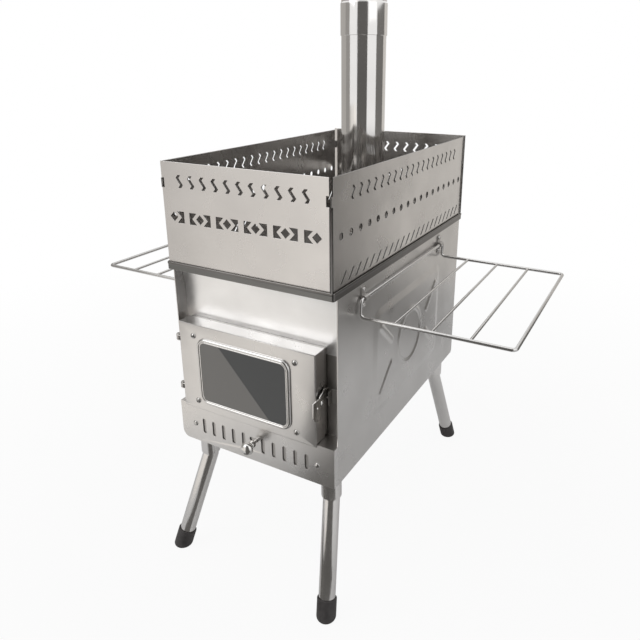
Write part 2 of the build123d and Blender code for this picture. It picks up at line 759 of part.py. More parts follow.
def hinge_brackets():
    """Two brackets on the door's left flange, each with an upper and a lower lug."""
    brackets = []
    reach = HINGE_LOOP_HEIGHT / 2 + SLIDE_GAP / 2
    front = HINGE_Y - HINGE_LOOP_RADIUS
    rear = HINGE_Y + HINGE_LOOP_RADIUS
    plate_left = DOOR_LEFT - SHEET
    for level in HINGE_LEVELS:
        low = level - reach - LUG_THICKNESS
        high = level + reach + LUG_THICKNESS
        bracket = block(plate_left, DOOR_LEFT, front, rear, low, high)
        for lug_low in (low, level + reach):
            lug_high = lug_low + LUG_THICKNESS
            bracket += block(HINGE_X, plate_left, front, rear, lug_low, lug_high)
            bracket += rod_z(HINGE_LOOP_RADIUS, lug_low, lug_high, HINGE_X, HINGE_Y)
            bracket -= rod_z(HINGE_PIN_RADIUS, lug_low - 1, lug_high + 1, HINGE_X, HINGE_Y)
        brackets.append(bracket)
    return Compound(children=brackets)


def hinge_pins():
    """Two headed pins fixed in the door's hinge brackets."""
    pins = []
    reach = HINGE_LOOP_HEIGHT / 2 + SLIDE_GAP / 2 + LUG_THICKNESS
    head = HINGE_LOOP_RADIUS - HINGE_PIN_RADIUS / 2
    for level in HINGE_LEVELS:
        low = level - reach
        high = level + reach
        pin = rod_z(HINGE_PIN_RADIUS, low, high, HINGE_X, HINGE_Y)
        pin += rod_z(head, high, high + HINGE_PIN_HEAD, HINGE_X, HINGE_Y)
        pin += rod_z(head, low - HINGE_PIN_HEAD, low, HINGE_X, HINGE_Y)
        pins.append(pin)
    return Compound(children=pins)


parts["hinge_loops"] = hinge_loops()
parts["hinge_brackets"] = hinge_brackets()
parts["hinge_pins"] = hinge_pins()

# Door latch

LATCH_X = DOOR_RIGHT + LATCH_GAP
LATCH_Y = FRONT + LATCH_PIVOT_Y
LATCH_Z = DOOR_MIDDLE - LATCH_DROP
LATCH_BACK = LATCH_X + LATCH_THICKNESS
KEEPER_X = LATCH_X + KEEPER_GAP
KEEPER_Y = WALL_FRONT - KEEPER_REACH


def latch_hook():
    """Outline of the hook about the pivot, as it lies when it holds the door."""
    pin_y = KEEPER_Y - LATCH_Y
    pin_top = KEEPER_PIN_RADIUS + TOUCH_GAP
    claw_front = pin_y + KEEPER_PIN_RADIUS + TOUCH_GAP
    claw_back = WALL_FRONT - LATCH_Y - 2 * TOUCH_GAP
    arm_top = LATCH_TAB_TOP + pin_top
    return Polygon(
        (0, pin_top),
        (claw_front, pin_top),
        (claw_front, -KEEPER_PIN_RADIUS),
        (claw_back, -KEEPER_PIN_RADIUS),
        (claw_back, arm_top / 2),
        (0.7 * claw_back, arm_top),
        (0, arm_top),
        align=None,
    )


def latch_lever():
    """Flat lever: a thumb tab in front of the pivot and a hook behind it."""
    tab = rect(-LATCH_TAB_FRONT, 2 * LATCH_PIN_RADIUS, -LATCH_TAB_BOTTOM, LATCH_TAB_TOP)
    tab -= rect(-LATCH_TAB_BACK, 2 * LATCH_PIN_RADIUS, -LATCH_TAB_BOTTOM, -2 * LATCH_PIN_RADIUS)
    corner = tab.vertices().group_by(Axis.Y)[0].sort_by(Axis.X)[0]
    tab = fillet(corner, LATCH_TAB_RADIUS)
    outline = tab + Rot(0, 0, LATCH_LIFT) * latch_hook()
    outline -= Circle(LATCH_PIN_RADIUS + FIT)
    outline -= Pos(-LATCH_EYE_FRONT, -LATCH_EYE_DROP) * Circle(LATCH_EYE_RADIUS)
    outline = Pos(LATCH_Y, LATCH_Z) * outline
    return plate_x(outline, LATCH_X, LATCH_BACK)


def latch_pivot():
    """Shouldered rivet that carries the latch on the door's right flange."""
    shoulder = rod_x(2 * LATCH_PIN_RADIUS, DOOR_RIGHT, LATCH_X - SLIDE_GAP / 2, LATCH_Y, LATCH_Z)
    head_start = LATCH_BACK + SLIDE_GAP / 2
    pin = rod_x(LATCH_PIN_RADIUS, DOOR_RIGHT, head_start, LATCH_Y, LATCH_Z)
    head = Pos(head_start, LATCH_Y, LATCH_Z) * Rot(0, 90, 0) * dome(
        1.8 * LATCH_PIN_RADIUS, 0.8 * LATCH_PIN_RADIUS
    )
    return shoulder + pin + head


def latch_keeper():
    """Bracket on the front wall whose pin the latch hook drops over."""
    half = SOCKET_PLATE / 4
    low = LATCH_Z - half
    high = LATCH_Z + half
    keeper_back = KEEPER_X + LATCH_THICKNESS
    reach = KEEPER_Y - 2 * KEEPER_PIN_RADIUS
    keeper = block(KEEPER_X, keeper_back, reach, WALL_FRONT, low, high)
    keeper += rod_x(KEEPER_PIN_RADIUS, LATCH_X - SLIDE_GAP / 2, KEEPER_X, KEEPER_Y, LATCH_Z)
    keeper += block(keeper_back, keeper_back + half, WALL_FRONT - SHEET, WALL_FRONT, low, high)
    return keeper


parts["latch_lever"] = latch_lever()
parts["latch_pivot"] = latch_pivot()
parts["latch_keeper"] = latch_keeper()

# Legs, sockets and feet

SOCKET_TOP = PAN_BOTTOM
SOCKET_UNDERSIDE = SOCKET_TOP - SOCKET_PLATE_THICKNESS
SOCKET_END = SOCKET_UNDERSIDE - SOCKET_DEPTH
CORNERS = {
    "front_left": (-1, -1),
    "front_right": (1, -1),
    "rear_left": (-1, 1),
    "rear_right": (1, 1),
}
LEG_TURNS = {
    "front_left": LEG_TURN_FRONT_LEFT,
    "front_right": LEG_TURN_RIGHT,
    "rear_left": LEG_TURN_REAR_LEFT,
    "rear_right": LEG_TURN_RIGHT,
}


def leg_socket():
    """Right rear socket: a tube welded under a square plate."""
    half = SOCKET_PLATE / 2
    plate = block(-half, half, -half, half, SOCKET_UNDERSIDE, SOCKET_TOP)
    tube = tube_z(SOCKET_RADIUS, LEG_RADIUS + FIT, SOCKET_END, SOCKET_UNDERSIDE, 0, 0)
    return Pos(SOCKET_X, SOCKET_Y, 0) * (plate + tube)


def socket_rivets():
    """The rivets of the right rear socket plate."""
    rivets = []
    step = SOCKET_PLATE / 2 - 1.2 * RIVET_HEAD_RADIUS
    for sx in (-1, 1):
        for sy in (-1, 1):
            place = Pos(SOCKET_X + sx * step, SOCKET_Y + sy * step, SOCKET_UNDERSIDE)
            rivets.append(place * Rot(180, 0, 0) * dome(RIVET_HEAD_RADIUS * 0.8, RIVET_HEAD_HEIGHT))
    return rivets


LEG_BEND_Z = SOCKET_END - LEG_BEND_BELOW
LEG_DIRECTION = Vector(0, LEG_SPLAY, -LEG_BEND_Z).normalized()
FOOT_CENTRE = Vector(0, LEG_SPLAY, 0)


def leg():
    """A leg tube, upright on the Z axis and splayed to the rear below its bend."""
    top = Vector(0, 0, SOCKET_UNDERSIDE)
    bend = Vector(0, 0, LEG_BEND_Z)
    end = FOOT_CENTRE - LEG_DIRECTION * FOOT_BASE
    path = FilletPolyline(top, bend, end, radius=LEG_BEND_RADIUS)
    ring = Circle(LEG_RADIUS) - Circle(LEG_RADIUS - LEG_WALL)
    start = Plane(origin=top, x_dir=(1, 0, 0), z_dir=(0, 0, -1))
    return sweep(start * ring, path=path)


def foot():
    """The rubber cap of that leg, cut flat where it stands and rounded below."""
    axis = Plane(origin=FOOT_CENTRE, z_dir=-LEG_DIRECTION)
    reach = 3 * FOOT_LENGTH
    upward = (Align.CENTER, Align.CENTER, Align.MIN)
    cap = axis * Pos(0, 0, -FOOT_LENGTH) * Cylinder(FOOT_RADIUS, 2 * FOOT_LENGTH, align=upward)
    cap -= block(-reach, reach, -reach, reach, -reach, 0)
    floor_edge = cap.edges().sort_by(Axis.Z)[0]
    cap = fillet(floor_edge, FOOT_ROUNDING)
    rim_edge = cap.edges().sort_by(Axis.Z)[-1]
    cap = fillet(rim_edge, (FOOT_RADIUS - LEG_RADIUS) / 2)
    return cap - axis * Pos(0, 0, FOOT_BASE) * Cylinder(LEG_RADIUS, reach, align=upward)


def at_corner(shape, corner):
    """A right rear piece, moved to the named corner by mirroring."""
    sx, sy = CORNERS[corner]
    if sx < 0:
        shape = mirror(shape, about=Plane.YZ)
    if sy < 0:
        shape = mirror(shape, about=Plane.XZ)
    return shape


def in_socket(shape, corner):
    """A leg piece, turned outward in its socket and moved to the named corner."""
    turned = Pos(SOCKET_X, SOCKET_Y, 0) * Rot(0, 0, -LEG_TURNS[corner]) * shape
    return at_corner(turned, corner)


for corner in CORNERS:
    parts["leg_socket_" + corner] = at_corner(leg_socket(), corner)
    parts["leg_" + corner] = in_socket(leg(), corner)
    parts["foot_" + corner] = in_socket(foot(), corner)

parts["socket_rivets"] = Compound(
    children=[at_corner(rivet, corner) for corner in CORNERS for rivet in socket_rivets()]
)

# Folding wire shelves

HINGE_WIRE_X = HALF + SHELF_HINGE_OUT
HINGE_WIRE_Z = DECK - SHELF_HINGE_DROP
SHELF_Z = DECK - SHELF_DROP
SHELF_Y0 = FRONT + SHELF_FRONT
SHELF_Y1 = SHELF_Y0 + SHELF_LENGTH
STOP_X = HALF + WIRE_RADIUS + TOUCH_GAP


def shelf():
    """Right shelf: a bent wire frame with three cross wires."""
    middle = (SHELF_Y0 + SHELF_Y1) / 2
    half_frame = FilletPolyline(
        (HINGE_WIRE_X, middle, HINGE_WIRE_Z),
        (HINGE_WIRE_X, SHELF_Y0, HINGE_WIRE_Z),
        (STOP_X, SHELF_Y0, SHELF_Z),
        (HALF + SHELF_REACH, SHELF_Y0, SHELF_Z),
        (HALF + SHELF_REACH, middle, SHELF_Z),
        radius=WIRE_BEND_RADIUS,
    )
    start = Plane(origin=(HINGE_WIRE_X, middle, HINGE_WIRE_Z), z_dir=(0, -1, 0))
    front_half = sweep(start * Circle(WIRE_RADIUS), path=half_frame)
    rear_half = mirror(front_half, about=Plane.XZ.offset(-middle))
    frame = front_half + rear_half
    for bar in SHELF_BARS:
        frame += rod_y(BAR_RADIUS, SHELF_Y0, SHELF_Y1, HALF + bar, SHELF_Z)
    return frame


def clip_places():
    """The Y places of the two clips of a shelf."""
    return (SHELF_Y0 + CLIP_INSET, SHELF_Y1 - CLIP_INSET)


def shelf_clips():
    """Two saddle clips that hold the right shelf's hinge wire."""
    clips = []
    face = HALF + CLIP_THICKNESS
    loop = WIRE_RADIUS + CLIP_THICKNESS + FIT
    for y in clip_places():
        y0 = y - CLIP_WIDTH / 2
        y1 = y + CLIP_WIDTH / 2
        low = HINGE_WIRE_Z - CLIP_HEIGHT / 2
        high = HINGE_WIRE_Z + CLIP_HEIGHT / 2
        clip = block(HALF, face, y0, y1, low, high)
        clip = fillet(clip.edges().filter_by(Axis.X), CLIP_WIDTH / 4)
        clip += block(HALF, HINGE_WIRE_X, y0, y1, HINGE_WIRE_Z - loop, HINGE_WIRE_Z + loop)
        clip += rod_y(loop, y0, y1, HINGE_WIRE_X, HINGE_WIRE_Z)
        clip -= rod_y(WIRE_RADIUS + FIT, y0 - 1, y1 + 1, HINGE_WIRE_X, HINGE_WIRE_Z)
        clips.append(clip)
    return clips


def clip_rivets():
    """A rivet above and a rivet below each saddle of the right shelf."""
    rivets = []
    for y in clip_places():
        for side in (-1, 1):
            place = Pos(HALF + CLIP_THICKNESS, y, HINGE_WIRE_Z + side * CLIP_RIVET_OFFSET)
            rivets.append(place * Rot(0, 90, 0) * dome(CLIP_RIVET_HEAD, RIVET_HEAD_HEIGHT))
    return rivets


def on_left(shapes):
    """The left-hand copies of a list of right-hand solids, lower and further back."""
    place = Pos(0, LEFT_SHELF_SETBACK, -LEFT_SHELF_DROP)
    return Compound(children=[place * mirror(shape, about=Plane.YZ) for shape in shapes])


parts["shelf_right"] = shelf()
parts["shelf_left"] = on_left([shelf()])
parts["shelf_clips_right"] = Compound(children=shelf_clips())
parts["shelf_clips_left"] = on_left(shelf_clips())
parts["clip_rivets_right"] = Compound(children=clip_rivets())
parts["clip_rivets_left"] = on_left(clip_rivets())

# Windshield


def crest_slot(flip):
    """A lightning-shaped slot; flip turns it the other way round."""
    half = CREST_WIDTH / 2
    upper = (-flip * CREST_REACH, CREST_BEND_RISE)
    lower = (flip * CREST_REACH, -CREST_BEND_RISE)
    line = [(0, CREST_END_RISE), upper, lower, (0, -CREST_END_RISE)]
    right = [(u + half, v) for u, v in line]
    left = [(u - half, v) for u, v in reversed(line)]
    return Polygon(*right, *left, align=None)


def diamond_group(blocks):
    """A diamond with a notched block on the sides named by blocks."""
    half = DIAMOND_HALF
    shapes = [Polygon((0, half), (-half, 0), (0, -half), (half, 0), align=None)]
    notched = [
        (BLOCK_INNER, BLOCK_HALF_HEIGHT),
        (BLOCK_APEX, 0),
        (BLOCK_INNER, -BLOCK_HALF_HEIGHT),
        (BLOCK_OUTER, -BLOCK_HALF_HEIGHT),
        (BLOCK_OUTER, BLOCK_HALF_HEIGHT),
    ]
    for side in blocks:
        shapes.append(Polygon(*[(side * u, v) for u, v in notched], align=None))
    return shapes


def slash():
    """A slanted slot."""
    half = SLASH_WIDTH / 2
    return Polygon(
        (-SLASH_LEAN - half, -SLASH_RISE),
        (-SLASH_LEAN + half, -SLASH_RISE),
        (SLASH_LEAN + half, SLASH_RISE),
        (SLASH_LEAN - half, SLASH_RISE),
        align=None,
    )


def end_pattern():
    """The cut-outs of the front and rear shields, as seen from the front."""
    cuts = []
    for x in row(CREST_FRONT_COUNT, CREST_FRONT_PITCH):
        cuts.append(Pos(x, DECK + CREST_LEVEL) * crest_slot(1))
    places = row(DIAMOND_COUNT, DIAMOND_PITCH)
    for x in places:
        blocks = [side for side in (-1, 1) if places[0] < x + side < places[-1]]
        cuts += [Pos(x, DECK + DIAMOND_LEVEL) * shape for shape in diamond_group(blocks)]
    return cuts


def side_pattern():
    """The cut-outs of a side shield, as seen from the right."""
    middle = (SHIELD_FRONT + SHIELD_REAR) / 2
    cuts = []
    for y in row(CREST_SIDE_COUNT, CREST_SIDE_PITCH):
        cuts.append(Pos(middle + y, DECK + CREST_LEVEL) * crest_slot(-1))
    for y in row(HOLE_COUNT, HOLE_PITCH):
        cuts.append(Pos(middle + y, DECK + DIAMOND_LEVEL) * Circle(HOLE_RADIUS))
    for y in row(SLASH_COUNT, SLASH_PITCH):
        cuts.append(Pos(middle + y, DECK + SLASH_LEVEL) * slash())
    return cuts


SHIELD_BASE = DECK_TOP
SHIELD_CREST = DECK + SHIELD_TOP
SIDE_FRONT = SHIELD_FRONT + SHIELD_SHEET
REAR_FACE = SHIELD_REAR - SHIELD_SHEET
TAB_BOTTOM = DECK + TAB_LEVEL - TAB_HEIGHT / 2
TAB_TOP = DECK + TAB_LEVEL + TAB_HEIGHT / 2


def tab_hole(u0, u1):
    """The opening that a tab passes through, between two places across the sheet."""
    return rect(u0 - TAB_GAP, u1 + TAB_GAP, TAB_BOTTOM - TAB_GAP, TAB_TOP + TAB_GAP)


def shield_front():
    """Front shield: it stands before the side shields, notched for their tabs."""
    half = HALF - FRONT_SHIELD_INSET
    sheet = rect(-half, half, SHIELD_BASE, SHIELD_CREST)
    for cut in end_pattern():
        sheet -= cut
    sheet -= tab_hole(-half, TAB_NOTCH - half)
    sheet -= tab_hole(half - TAB_NOTCH, half)
    return plate_y(Pos(FRONT_SHIELD_SHIFT, 0) * sheet, SHIELD_FRONT, SIDE_FRONT)


def shield_rear():
    """Rear shield: it stands behind the side shields and takes their tabs."""
    crest = SHIELD_CREST + SHIELD_REAR_RISE
    sheet = rect(-SHIELD_HALF_WIDTH, SHIELD_HALF_WIDTH, SHIELD_BASE, crest)
    ear = SHIELD_HALF_WIDTH + SHIELD_EAR
    sheet += rect(-ear, ear, DECK + RIM_HEIGHT + SHEET, crest)
    for cut in end_pattern():
        sheet -= mirror(cut, about=Plane.YZ)
    sheet -= tab_hole(-SHIELD_HALF_WIDTH, -SHIELD_INNER)
    sheet -= tab_hole(SHIELD_INNER, SHIELD_HALF_WIDTH)
    return plate_y(sheet, REAR_FACE, SHIELD_REAR)


def shield_side():
    """Right side shield, with a tab through the front and one through the rear."""
    back = REAR_FACE - SHIELD_REAR_GAP
    sheet = rect(SIDE_FRONT, back, SHIELD_BASE, SHIELD_CREST)
    for cut in side_pattern():
        sheet -= cut
    sheet += rect(SHIELD_FRONT - TAB_REACH, SIDE_FRONT, TAB_BOTTOM, TAB_TOP)
    sheet += rect(back, SHIELD_REAR + TAB_REACH, TAB_BOTTOM, TAB_TOP)
    return plate_x(sheet, SHIELD_INNER, SHIELD_HALF_WIDTH)


parts["shield_front"] = shield_front()
parts["shield_rear"] = shield_rear()
parts["shield_right"] = shield_side()
parts["shield_left"] = Pos(-SHIELD_INNER - SHIELD_HALF_WIDTH, 0, 0) * shield_side()

# Flue

FLANGE_TOP = DECK_TOP + COLLAR_FLANGE_THICKNESS
SPIGOT_RADIUS = FLUE_RADIUS - FLUE_WALL - FIT
BELL_RADIUS = FLUE_RADIUS + FIT + FLUE_WALL
BELL_BOTTOM = DECK + BELL_LEVEL
BELL_TOP = BELL_BOTTOM + BELL_LENGTH


def flue_collar():
    """The spigot riveted on the deck, which the lower flue slides over."""
    bore = flue_bore_radius()
    flange = tube_z(COLLAR_FLANGE_RADIUS, bore, DECK_TOP, FLANGE_TOP, 0, FLUE_Y)
    return flange + tube_z(SPIGOT_RADIUS, bore, DECK_TOP, DECK_TOP + COLLAR_HEIGHT, 0, FLUE_Y)


def collar_rivets():
    """A ring of rivets in the collar's flange."""
    rivets = []
    ring = (COLLAR_FLANGE_RADIUS + FLUE_RADIUS + FLUE_WALL) / 2
    for i in range(COLLAR_RIVET_COUNT):
        place = Pos(0, FLUE_Y, FLANGE_TOP) * Rot(0, 0, 360 * i / COLLAR_RIVET_COUNT) * Pos(ring, 0, 0)
        rivets.append(place * dome(RIVET_HEAD_RADIUS * 0.8, RIVET_HEAD_HEIGHT * 0.8))
    return Compound(children=rivets)


def flue_upper():
    """Upper flue: a bell that slides over the lower flue, then a plain pipe."""
    inner = FLUE_RADIUS - FLUE_WALL
    top = BELL_BOTTOM + UPPER_FLUE_LENGTH
    neck = BELL_RADIUS - FLUE_RADIUS
    face = Polygon(
        (FLUE_RADIUS + FIT, BELL_BOTTOM),
        (BELL_RADIUS, BELL_BOTTOM),
        (BELL_RADIUS, BELL_TOP),
        (FLUE_RADIUS, BELL_TOP + neck),
        (FLUE_RADIUS, top),
        (inner, top),
        (inner, BELL_TOP),
        (FLUE_RADIUS + FIT, BELL_TOP - neck / 2),
        align=None,
    )
    upright = Plane(origin=(0, FLUE_Y, 0), x_dir=(1, 0, 0), z_dir=(0, -1, 0))
    return revolve(upright * face, axis=Axis((0, FLUE_Y, 0), (0, 0, 1)))


def flue_lower():
    """Lower flue: a plain pipe from the collar into the upper flue's bell."""
    top = BELL_TOP - BELL_RADIUS + FLUE_RADIUS - 2 * TOUCH_GAP
    return tube_z(FLUE_RADIUS, FLUE_RADIUS - FLUE_WALL, FLANGE_TOP, top, 0, FLUE_Y)


parts["flue_collar"] = flue_collar()
parts["collar_rivets"] = collar_rivets()
parts["flue_lower"] = flue_lower()
parts["flue_upper"] = flue_upper()

# Fire grate


def fire_grate():
    """A slotted plate on two folded runners, standing on the floor pan."""
    half = INNER - SHEET - GRATE_SIDE_GAP
    y0 = FRONT + GRATE_FRONT
    y1 = y0 + GRATE_LENGTH
    top = PAN_TOP + GRATE_HEIGHT
    sheet = Pos(0, (y0 + y1) / 2) * Rectangle(2 * half, GRATE_LENGTH)
    slots = int(GRATE_LENGTH / GRATE_SLOT_PITCH) - 1
    for y in row(slots, GRATE_SLOT_PITCH):
        for side in (-1, 1):
            x = side * half / 2
            sheet -= Pos(x, (y0 + y1) / 2 + y) * SlotOverall(GRATE_SLOT_LENGTH, GRATE_SLOT_WIDTH)
    grate = extrude(Pos(0, 0, top - GRATE_THICKNESS) * sheet, amount=GRATE_THICKNESS)
    for runner in both_sides(block(half - GRATE_THICKNESS, half, y0, y1, PAN_TOP, top)):
        grate += runner
    return grate


parts["fire_grate"] = fire_grate()

os.makedirs("parts", exist_ok=True)
for name, shape in parts.items():
    export_step(shape, "parts/" + name + ".step")
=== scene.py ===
"""Dresses the camping wood stove: sheet steel body, legs, shelves, windshield and flue."""

import logging
import math
from collections.abc import Sequence
from dataclasses import dataclass, field
from enum import Enum

import bmesh
import bpy
from mathutils import Matrix, Vector


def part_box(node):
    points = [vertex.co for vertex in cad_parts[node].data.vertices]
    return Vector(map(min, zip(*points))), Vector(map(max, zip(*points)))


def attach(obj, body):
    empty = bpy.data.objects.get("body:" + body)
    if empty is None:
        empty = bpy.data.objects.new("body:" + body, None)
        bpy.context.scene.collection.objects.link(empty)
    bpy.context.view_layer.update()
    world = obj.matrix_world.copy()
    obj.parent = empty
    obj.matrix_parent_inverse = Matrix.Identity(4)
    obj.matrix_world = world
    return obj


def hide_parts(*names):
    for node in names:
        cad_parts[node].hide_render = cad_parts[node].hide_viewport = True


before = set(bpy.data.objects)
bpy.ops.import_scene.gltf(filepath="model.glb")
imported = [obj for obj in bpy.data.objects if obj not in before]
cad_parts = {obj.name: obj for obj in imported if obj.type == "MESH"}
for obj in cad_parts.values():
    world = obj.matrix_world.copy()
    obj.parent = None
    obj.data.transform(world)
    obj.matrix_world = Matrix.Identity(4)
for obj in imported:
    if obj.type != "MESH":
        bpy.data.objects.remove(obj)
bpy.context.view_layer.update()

MM = 0.001
LOG = logging.getLogger("stove")

Colour = tuple[float, float, float]
Point = tuple[float, float, float]
Flat = tuple[float, float]
WHITE = (1.0, 1.0, 1.0, 1.0)
CREASE = math.radians(30)
HARD_EDGE = math.radians(35)
SQUARE_TO_AXIS = 0.99999
FLATNESS = math.radians(0.5)
WELD = 0.002 * MM
TIDY_WELD = 0.001 * MM
CORNERS = {"front_left": (-1, -1), "front_right": (1, -1), "rear_left": (-1, 1), "rear_right": (1, 1)}


class Grain(Enum):
    """The way the brushing runs on a sheet, as the scale of its noise along X, Y and Z."""

    LEVEL_X = (6.0, 900.0, 900.0)
    LEVEL_Y = (900.0, 6.0, 900.0)
    UPRIGHT = (700.0, 700.0, 5.0)
    CLOUDY = (60.0, 60.0, 60.0)


# Node graphs


class Graph:
    """A node tree with short calls to add and join nodes."""

    def __init__(self, tree: bpy.types.NodeTree) -> None:
        """Wraps a tree."""
        self.tree = tree

    def add(self, kind: str, settings: dict[str, object] | None = None, **sockets: object) -> bpy.types.Node:
        """Adds a node.

        Args:
            kind: The node's type.
            settings: Properties of the node itself.
            **sockets: Socket names, with underscores for spaces, and their values or sources.

        Returns:
            The new node.
        """
        node = self.tree.nodes.new(kind)
        for name, value in (settings or {}).items():
            setattr(node, name, value)
        for name, value in sockets.items():
            self.plug(node.inputs[name.replace("_", " ")], value)
        return node

    def plug(self, socket: bpy.types.NodeSocket, value: object) -> None:
        """Links an output to a socket, or sets the socket's own value."""
        if isinstance(value, bpy.types.NodeSocket):
            self.tree.links.new(value, socket)
        else:
            socket.default_value = value

    def math(self, operation: str, *values: object) -> bpy.types.NodeSocket:
        """Returns the result of a sum on one or two numbers."""
        return self.summed("ShaderNodeMath", operation, values).outputs[0]

    def vector(self, operation: str, *values: object) -> bpy.types.NodeSocket:
        """Returns the result of a sum on one or two vectors."""
        return self.summed("ShaderNodeVectorMath", operation, values).outputs[0]

    def dot(self, one: bpy.types.NodeSocket, two: object) -> bpy.types.NodeSocket:
        """Returns the dot product of two vectors."""
        return self.summed("ShaderNodeVectorMath", "DOT_PRODUCT", (one, two)).outputs["Value"]

    def length(self, value: bpy.types.NodeSocket) -> bpy.types.NodeSocket:
        """Returns the length of a vector."""
        return self.summed("ShaderNodeVectorMath", "LENGTH", (value,)).outputs["Value"]

    def summed(self, kind: str, operation: str, values: Sequence[object]) -> bpy.types.Node:
        """Adds a node that works on values, given to its inputs in order.

        Args:
            kind: The node's type.
            operation: What it does.
            values: Values or sources.

        Returns:
            The new node.
        """
        node = self.add(kind, {"operation": operation})
        for socket, value in zip(node.inputs, values):
            self.plug(socket, value)
        return node

    def reflected(self, camera: object, mirrored: object) -> bpy.types.NodeSocket:
        """Returns how much of a colour is seen, by who looks at it.

        Args:
            camera: The share that the camera sees.
            mirrored: The share that mirror-like and see-through surfaces see.

        Returns:
            The share, zero for all other rays.
        """
        path = self.add("ShaderNodeLightPath").outputs
        total = self.math("MULTIPLY", path["Is Camera Ray"], camera)
        for other in ("Is Glossy Ray", "Is Transmission Ray"):
            total = self.math("MAXIMUM", total, self.math("MULTIPLY", path[other], mirrored))
        return total


class ShaderSheet(Graph):
    """A material's node tree."""

    def __init__(self, name: str) -> None:
        """Starts an empty material.

        Args:
            name: The material's name.
        """
        self.material = bpy.data.materials.new(name)
        self.material.use_nodes = True
        super().__init__(self.material.node_tree)
        self.tree.nodes.clear()

    def place(self) -> bpy.types.NodeSocket:
        """Returns the object's own coordinates."""
        return self.add("ShaderNodeTexCoord").outputs["Object"]

    def noise(self, scale: Sequence[float], detail: float = 3.0, seed: float = 0.0) -> bpy.types.NodeSocket:
        """Returns a noise value.

        Args:
            scale: How many features there are in a metre along X, Y and Z.
            detail: The number of finer layers.
            seed: Which slice of the noise is taken.

        Returns:
            The noise's value socket, from 0 to 1.
        """
        stretched = self.add("ShaderNodeMapping", Vector=self.place(), Scale=scale).outputs["Vector"]
        settings = {"noise_dimensions": "4D"}
        node = self.add("ShaderNodeTexNoise", settings, Vector=stretched, Scale=1.0, Detail=detail, W=seed)
        return node.outputs[0]

    def spread(
        self, value: bpy.types.NodeSocket, low: float, high: float, start: float = 0.0, end: float = 1.0
    ) -> bpy.types.NodeSocket:
        """Maps a value from one range to another.

        Args:
            value: The value socket.
            low: The result at start.
            high: The result at end.
            start: The value that gives low.
            end: The value that gives high.

        Returns:
            The mapped value, held inside the range.
        """
        return self.add(
            "ShaderNodeMapRange", Value=value, From_Min=start, From_Max=end, To_Min=low, To_Max=high
        ).outputs["Result"]

    def tint(self, value: bpy.types.NodeSocket, dark: Colour, light: Colour) -> bpy.types.NodeSocket:
        """Returns a colour between dark and light, by value."""
        node = self.add("ShaderNodeMix", {"data_type": "RGBA"})
        self.plug(node.inputs[0], value)
        node.inputs[6].default_value = (*dark, 1.0)
        node.inputs[7].default_value = (*light, 1.0)
        return node.outputs[2]

    def bump(
        self, height: bpy.types.NodeSocket, depth: float, strength: float = 1.0
    ) -> bpy.types.NodeSocket:
        """Returns a surface direction roughened by a height, up to depth millimetres."""
        node = self.add("ShaderNodeBump", Height=height, Strength=strength, Distance=depth * MM)
        return node.outputs["Normal"]

    def surface(self, **sockets: object) -> bpy.types.Material:
        """Ends the material in a principled shader with these sockets set."""
        return self.close(self.add("ShaderNodeBsdfPrincipled", **sockets).outputs["BSDF"])

    def close(self, shader: bpy.types.NodeSocket) -> bpy.types.Material:
        """Joins the shader to the output and returns the material."""
        self.add("ShaderNodeOutputMaterial", Surface=shader)
        return self.material


@dataclass(frozen=True)
class Steel:
    """Stainless steel with brushed grain, faint clouds and handling smudges.

    Attributes:
        name: The material's name.
        colour: Colour of the clean metal.
        roughness: Mean roughness.
        grain: The way the brushing runs.
        grain_depth: Height of the brushing in millimetres.
        cloud: How much the colour wanders, from 0 to 1.
        smudge: How much the roughness wanders.
        clouds: Scale of the colour's noise along X, Y and Z.
        smears: Scale of the roughness's noise.
    """

    name: str
    colour: Colour
    roughness: float
    grain: Grain
    grain_depth: float = 0.004
    cloud: float = 0.06
    smudge: float = 0.08
    clouds: Point = (9.0, 9.0, 14.0)
    smears: Point = (26.0, 26.0, 20.0)

    def material(self) -> bpy.types.Material:
        """Builds the material."""
        sheet = ShaderSheet(self.name)
        streak = sheet.noise(self.grain.value, detail=4.0)
        clouds = sheet.noise(self.clouds, detail=4.0, seed=3.0)
        smears = sheet.noise(self.smears, detail=6.0, seed=8.0)
        dark = tuple(c * (1.0 - self.cloud) for c in self.colour)
        light = tuple(min(1.0, c * (1.0 + self.cloud)) for c in self.colour)
        shade = sheet.spread(clouds, 0.0, 1.0, 0.3, 0.7)
        rough_low = max(0.02, self.roughness - self.smudge / 2)
        return sheet.surface(
            Base_Color=sheet.tint(shade, dark, light),
            Roughness=sheet.spread(smears, rough_low, self.roughness + self.smudge / 2, 0.35, 0.65),
            Metallic=1.0,
            Normal=sheet.bump(streak, self.grain_depth),
        )


@dataclass(frozen=True)
class Rubber:
    """Moulded black rubber, dusty and slightly uneven.

    Attributes:
        name: The material's name.
        colour: Colour between the clean and the dusty parts.
        dust: Scale of the dust's noise along X, Y and Z.
        pits: Scale of the surface's fine pits.
    """

    name: str = "foot_rubber"
    colour: Colour = (0.055, 0.05, 0.05)
    dust: Point = (120.0, 120.0, 60.0)
    pits: Point = (1400.0, 1400.0, 1400.0)

    def material(self) -> bpy.types.Material:
        """Builds the material."""
        sheet = ShaderSheet(self.name)
        dust = sheet.noise(self.dust, detail=5.0)
        pitting = sheet.noise(self.pits, detail=2.0, seed=2.0)
        dark = tuple(c * 0.75 for c in self.colour)
        light = tuple(c * 1.5 for c in self.colour)
        return sheet.surface(
            Base_Color=sheet.tint(sheet.spread(dust, 0.0, 1.0, 0.35, 0.7), dark, light),
            Roughness=sheet.spread(dust, 0.42, 0.62, 0.3, 0.7),
            Normal=sheet.bump(pitting, 0.05, 0.6),
        )


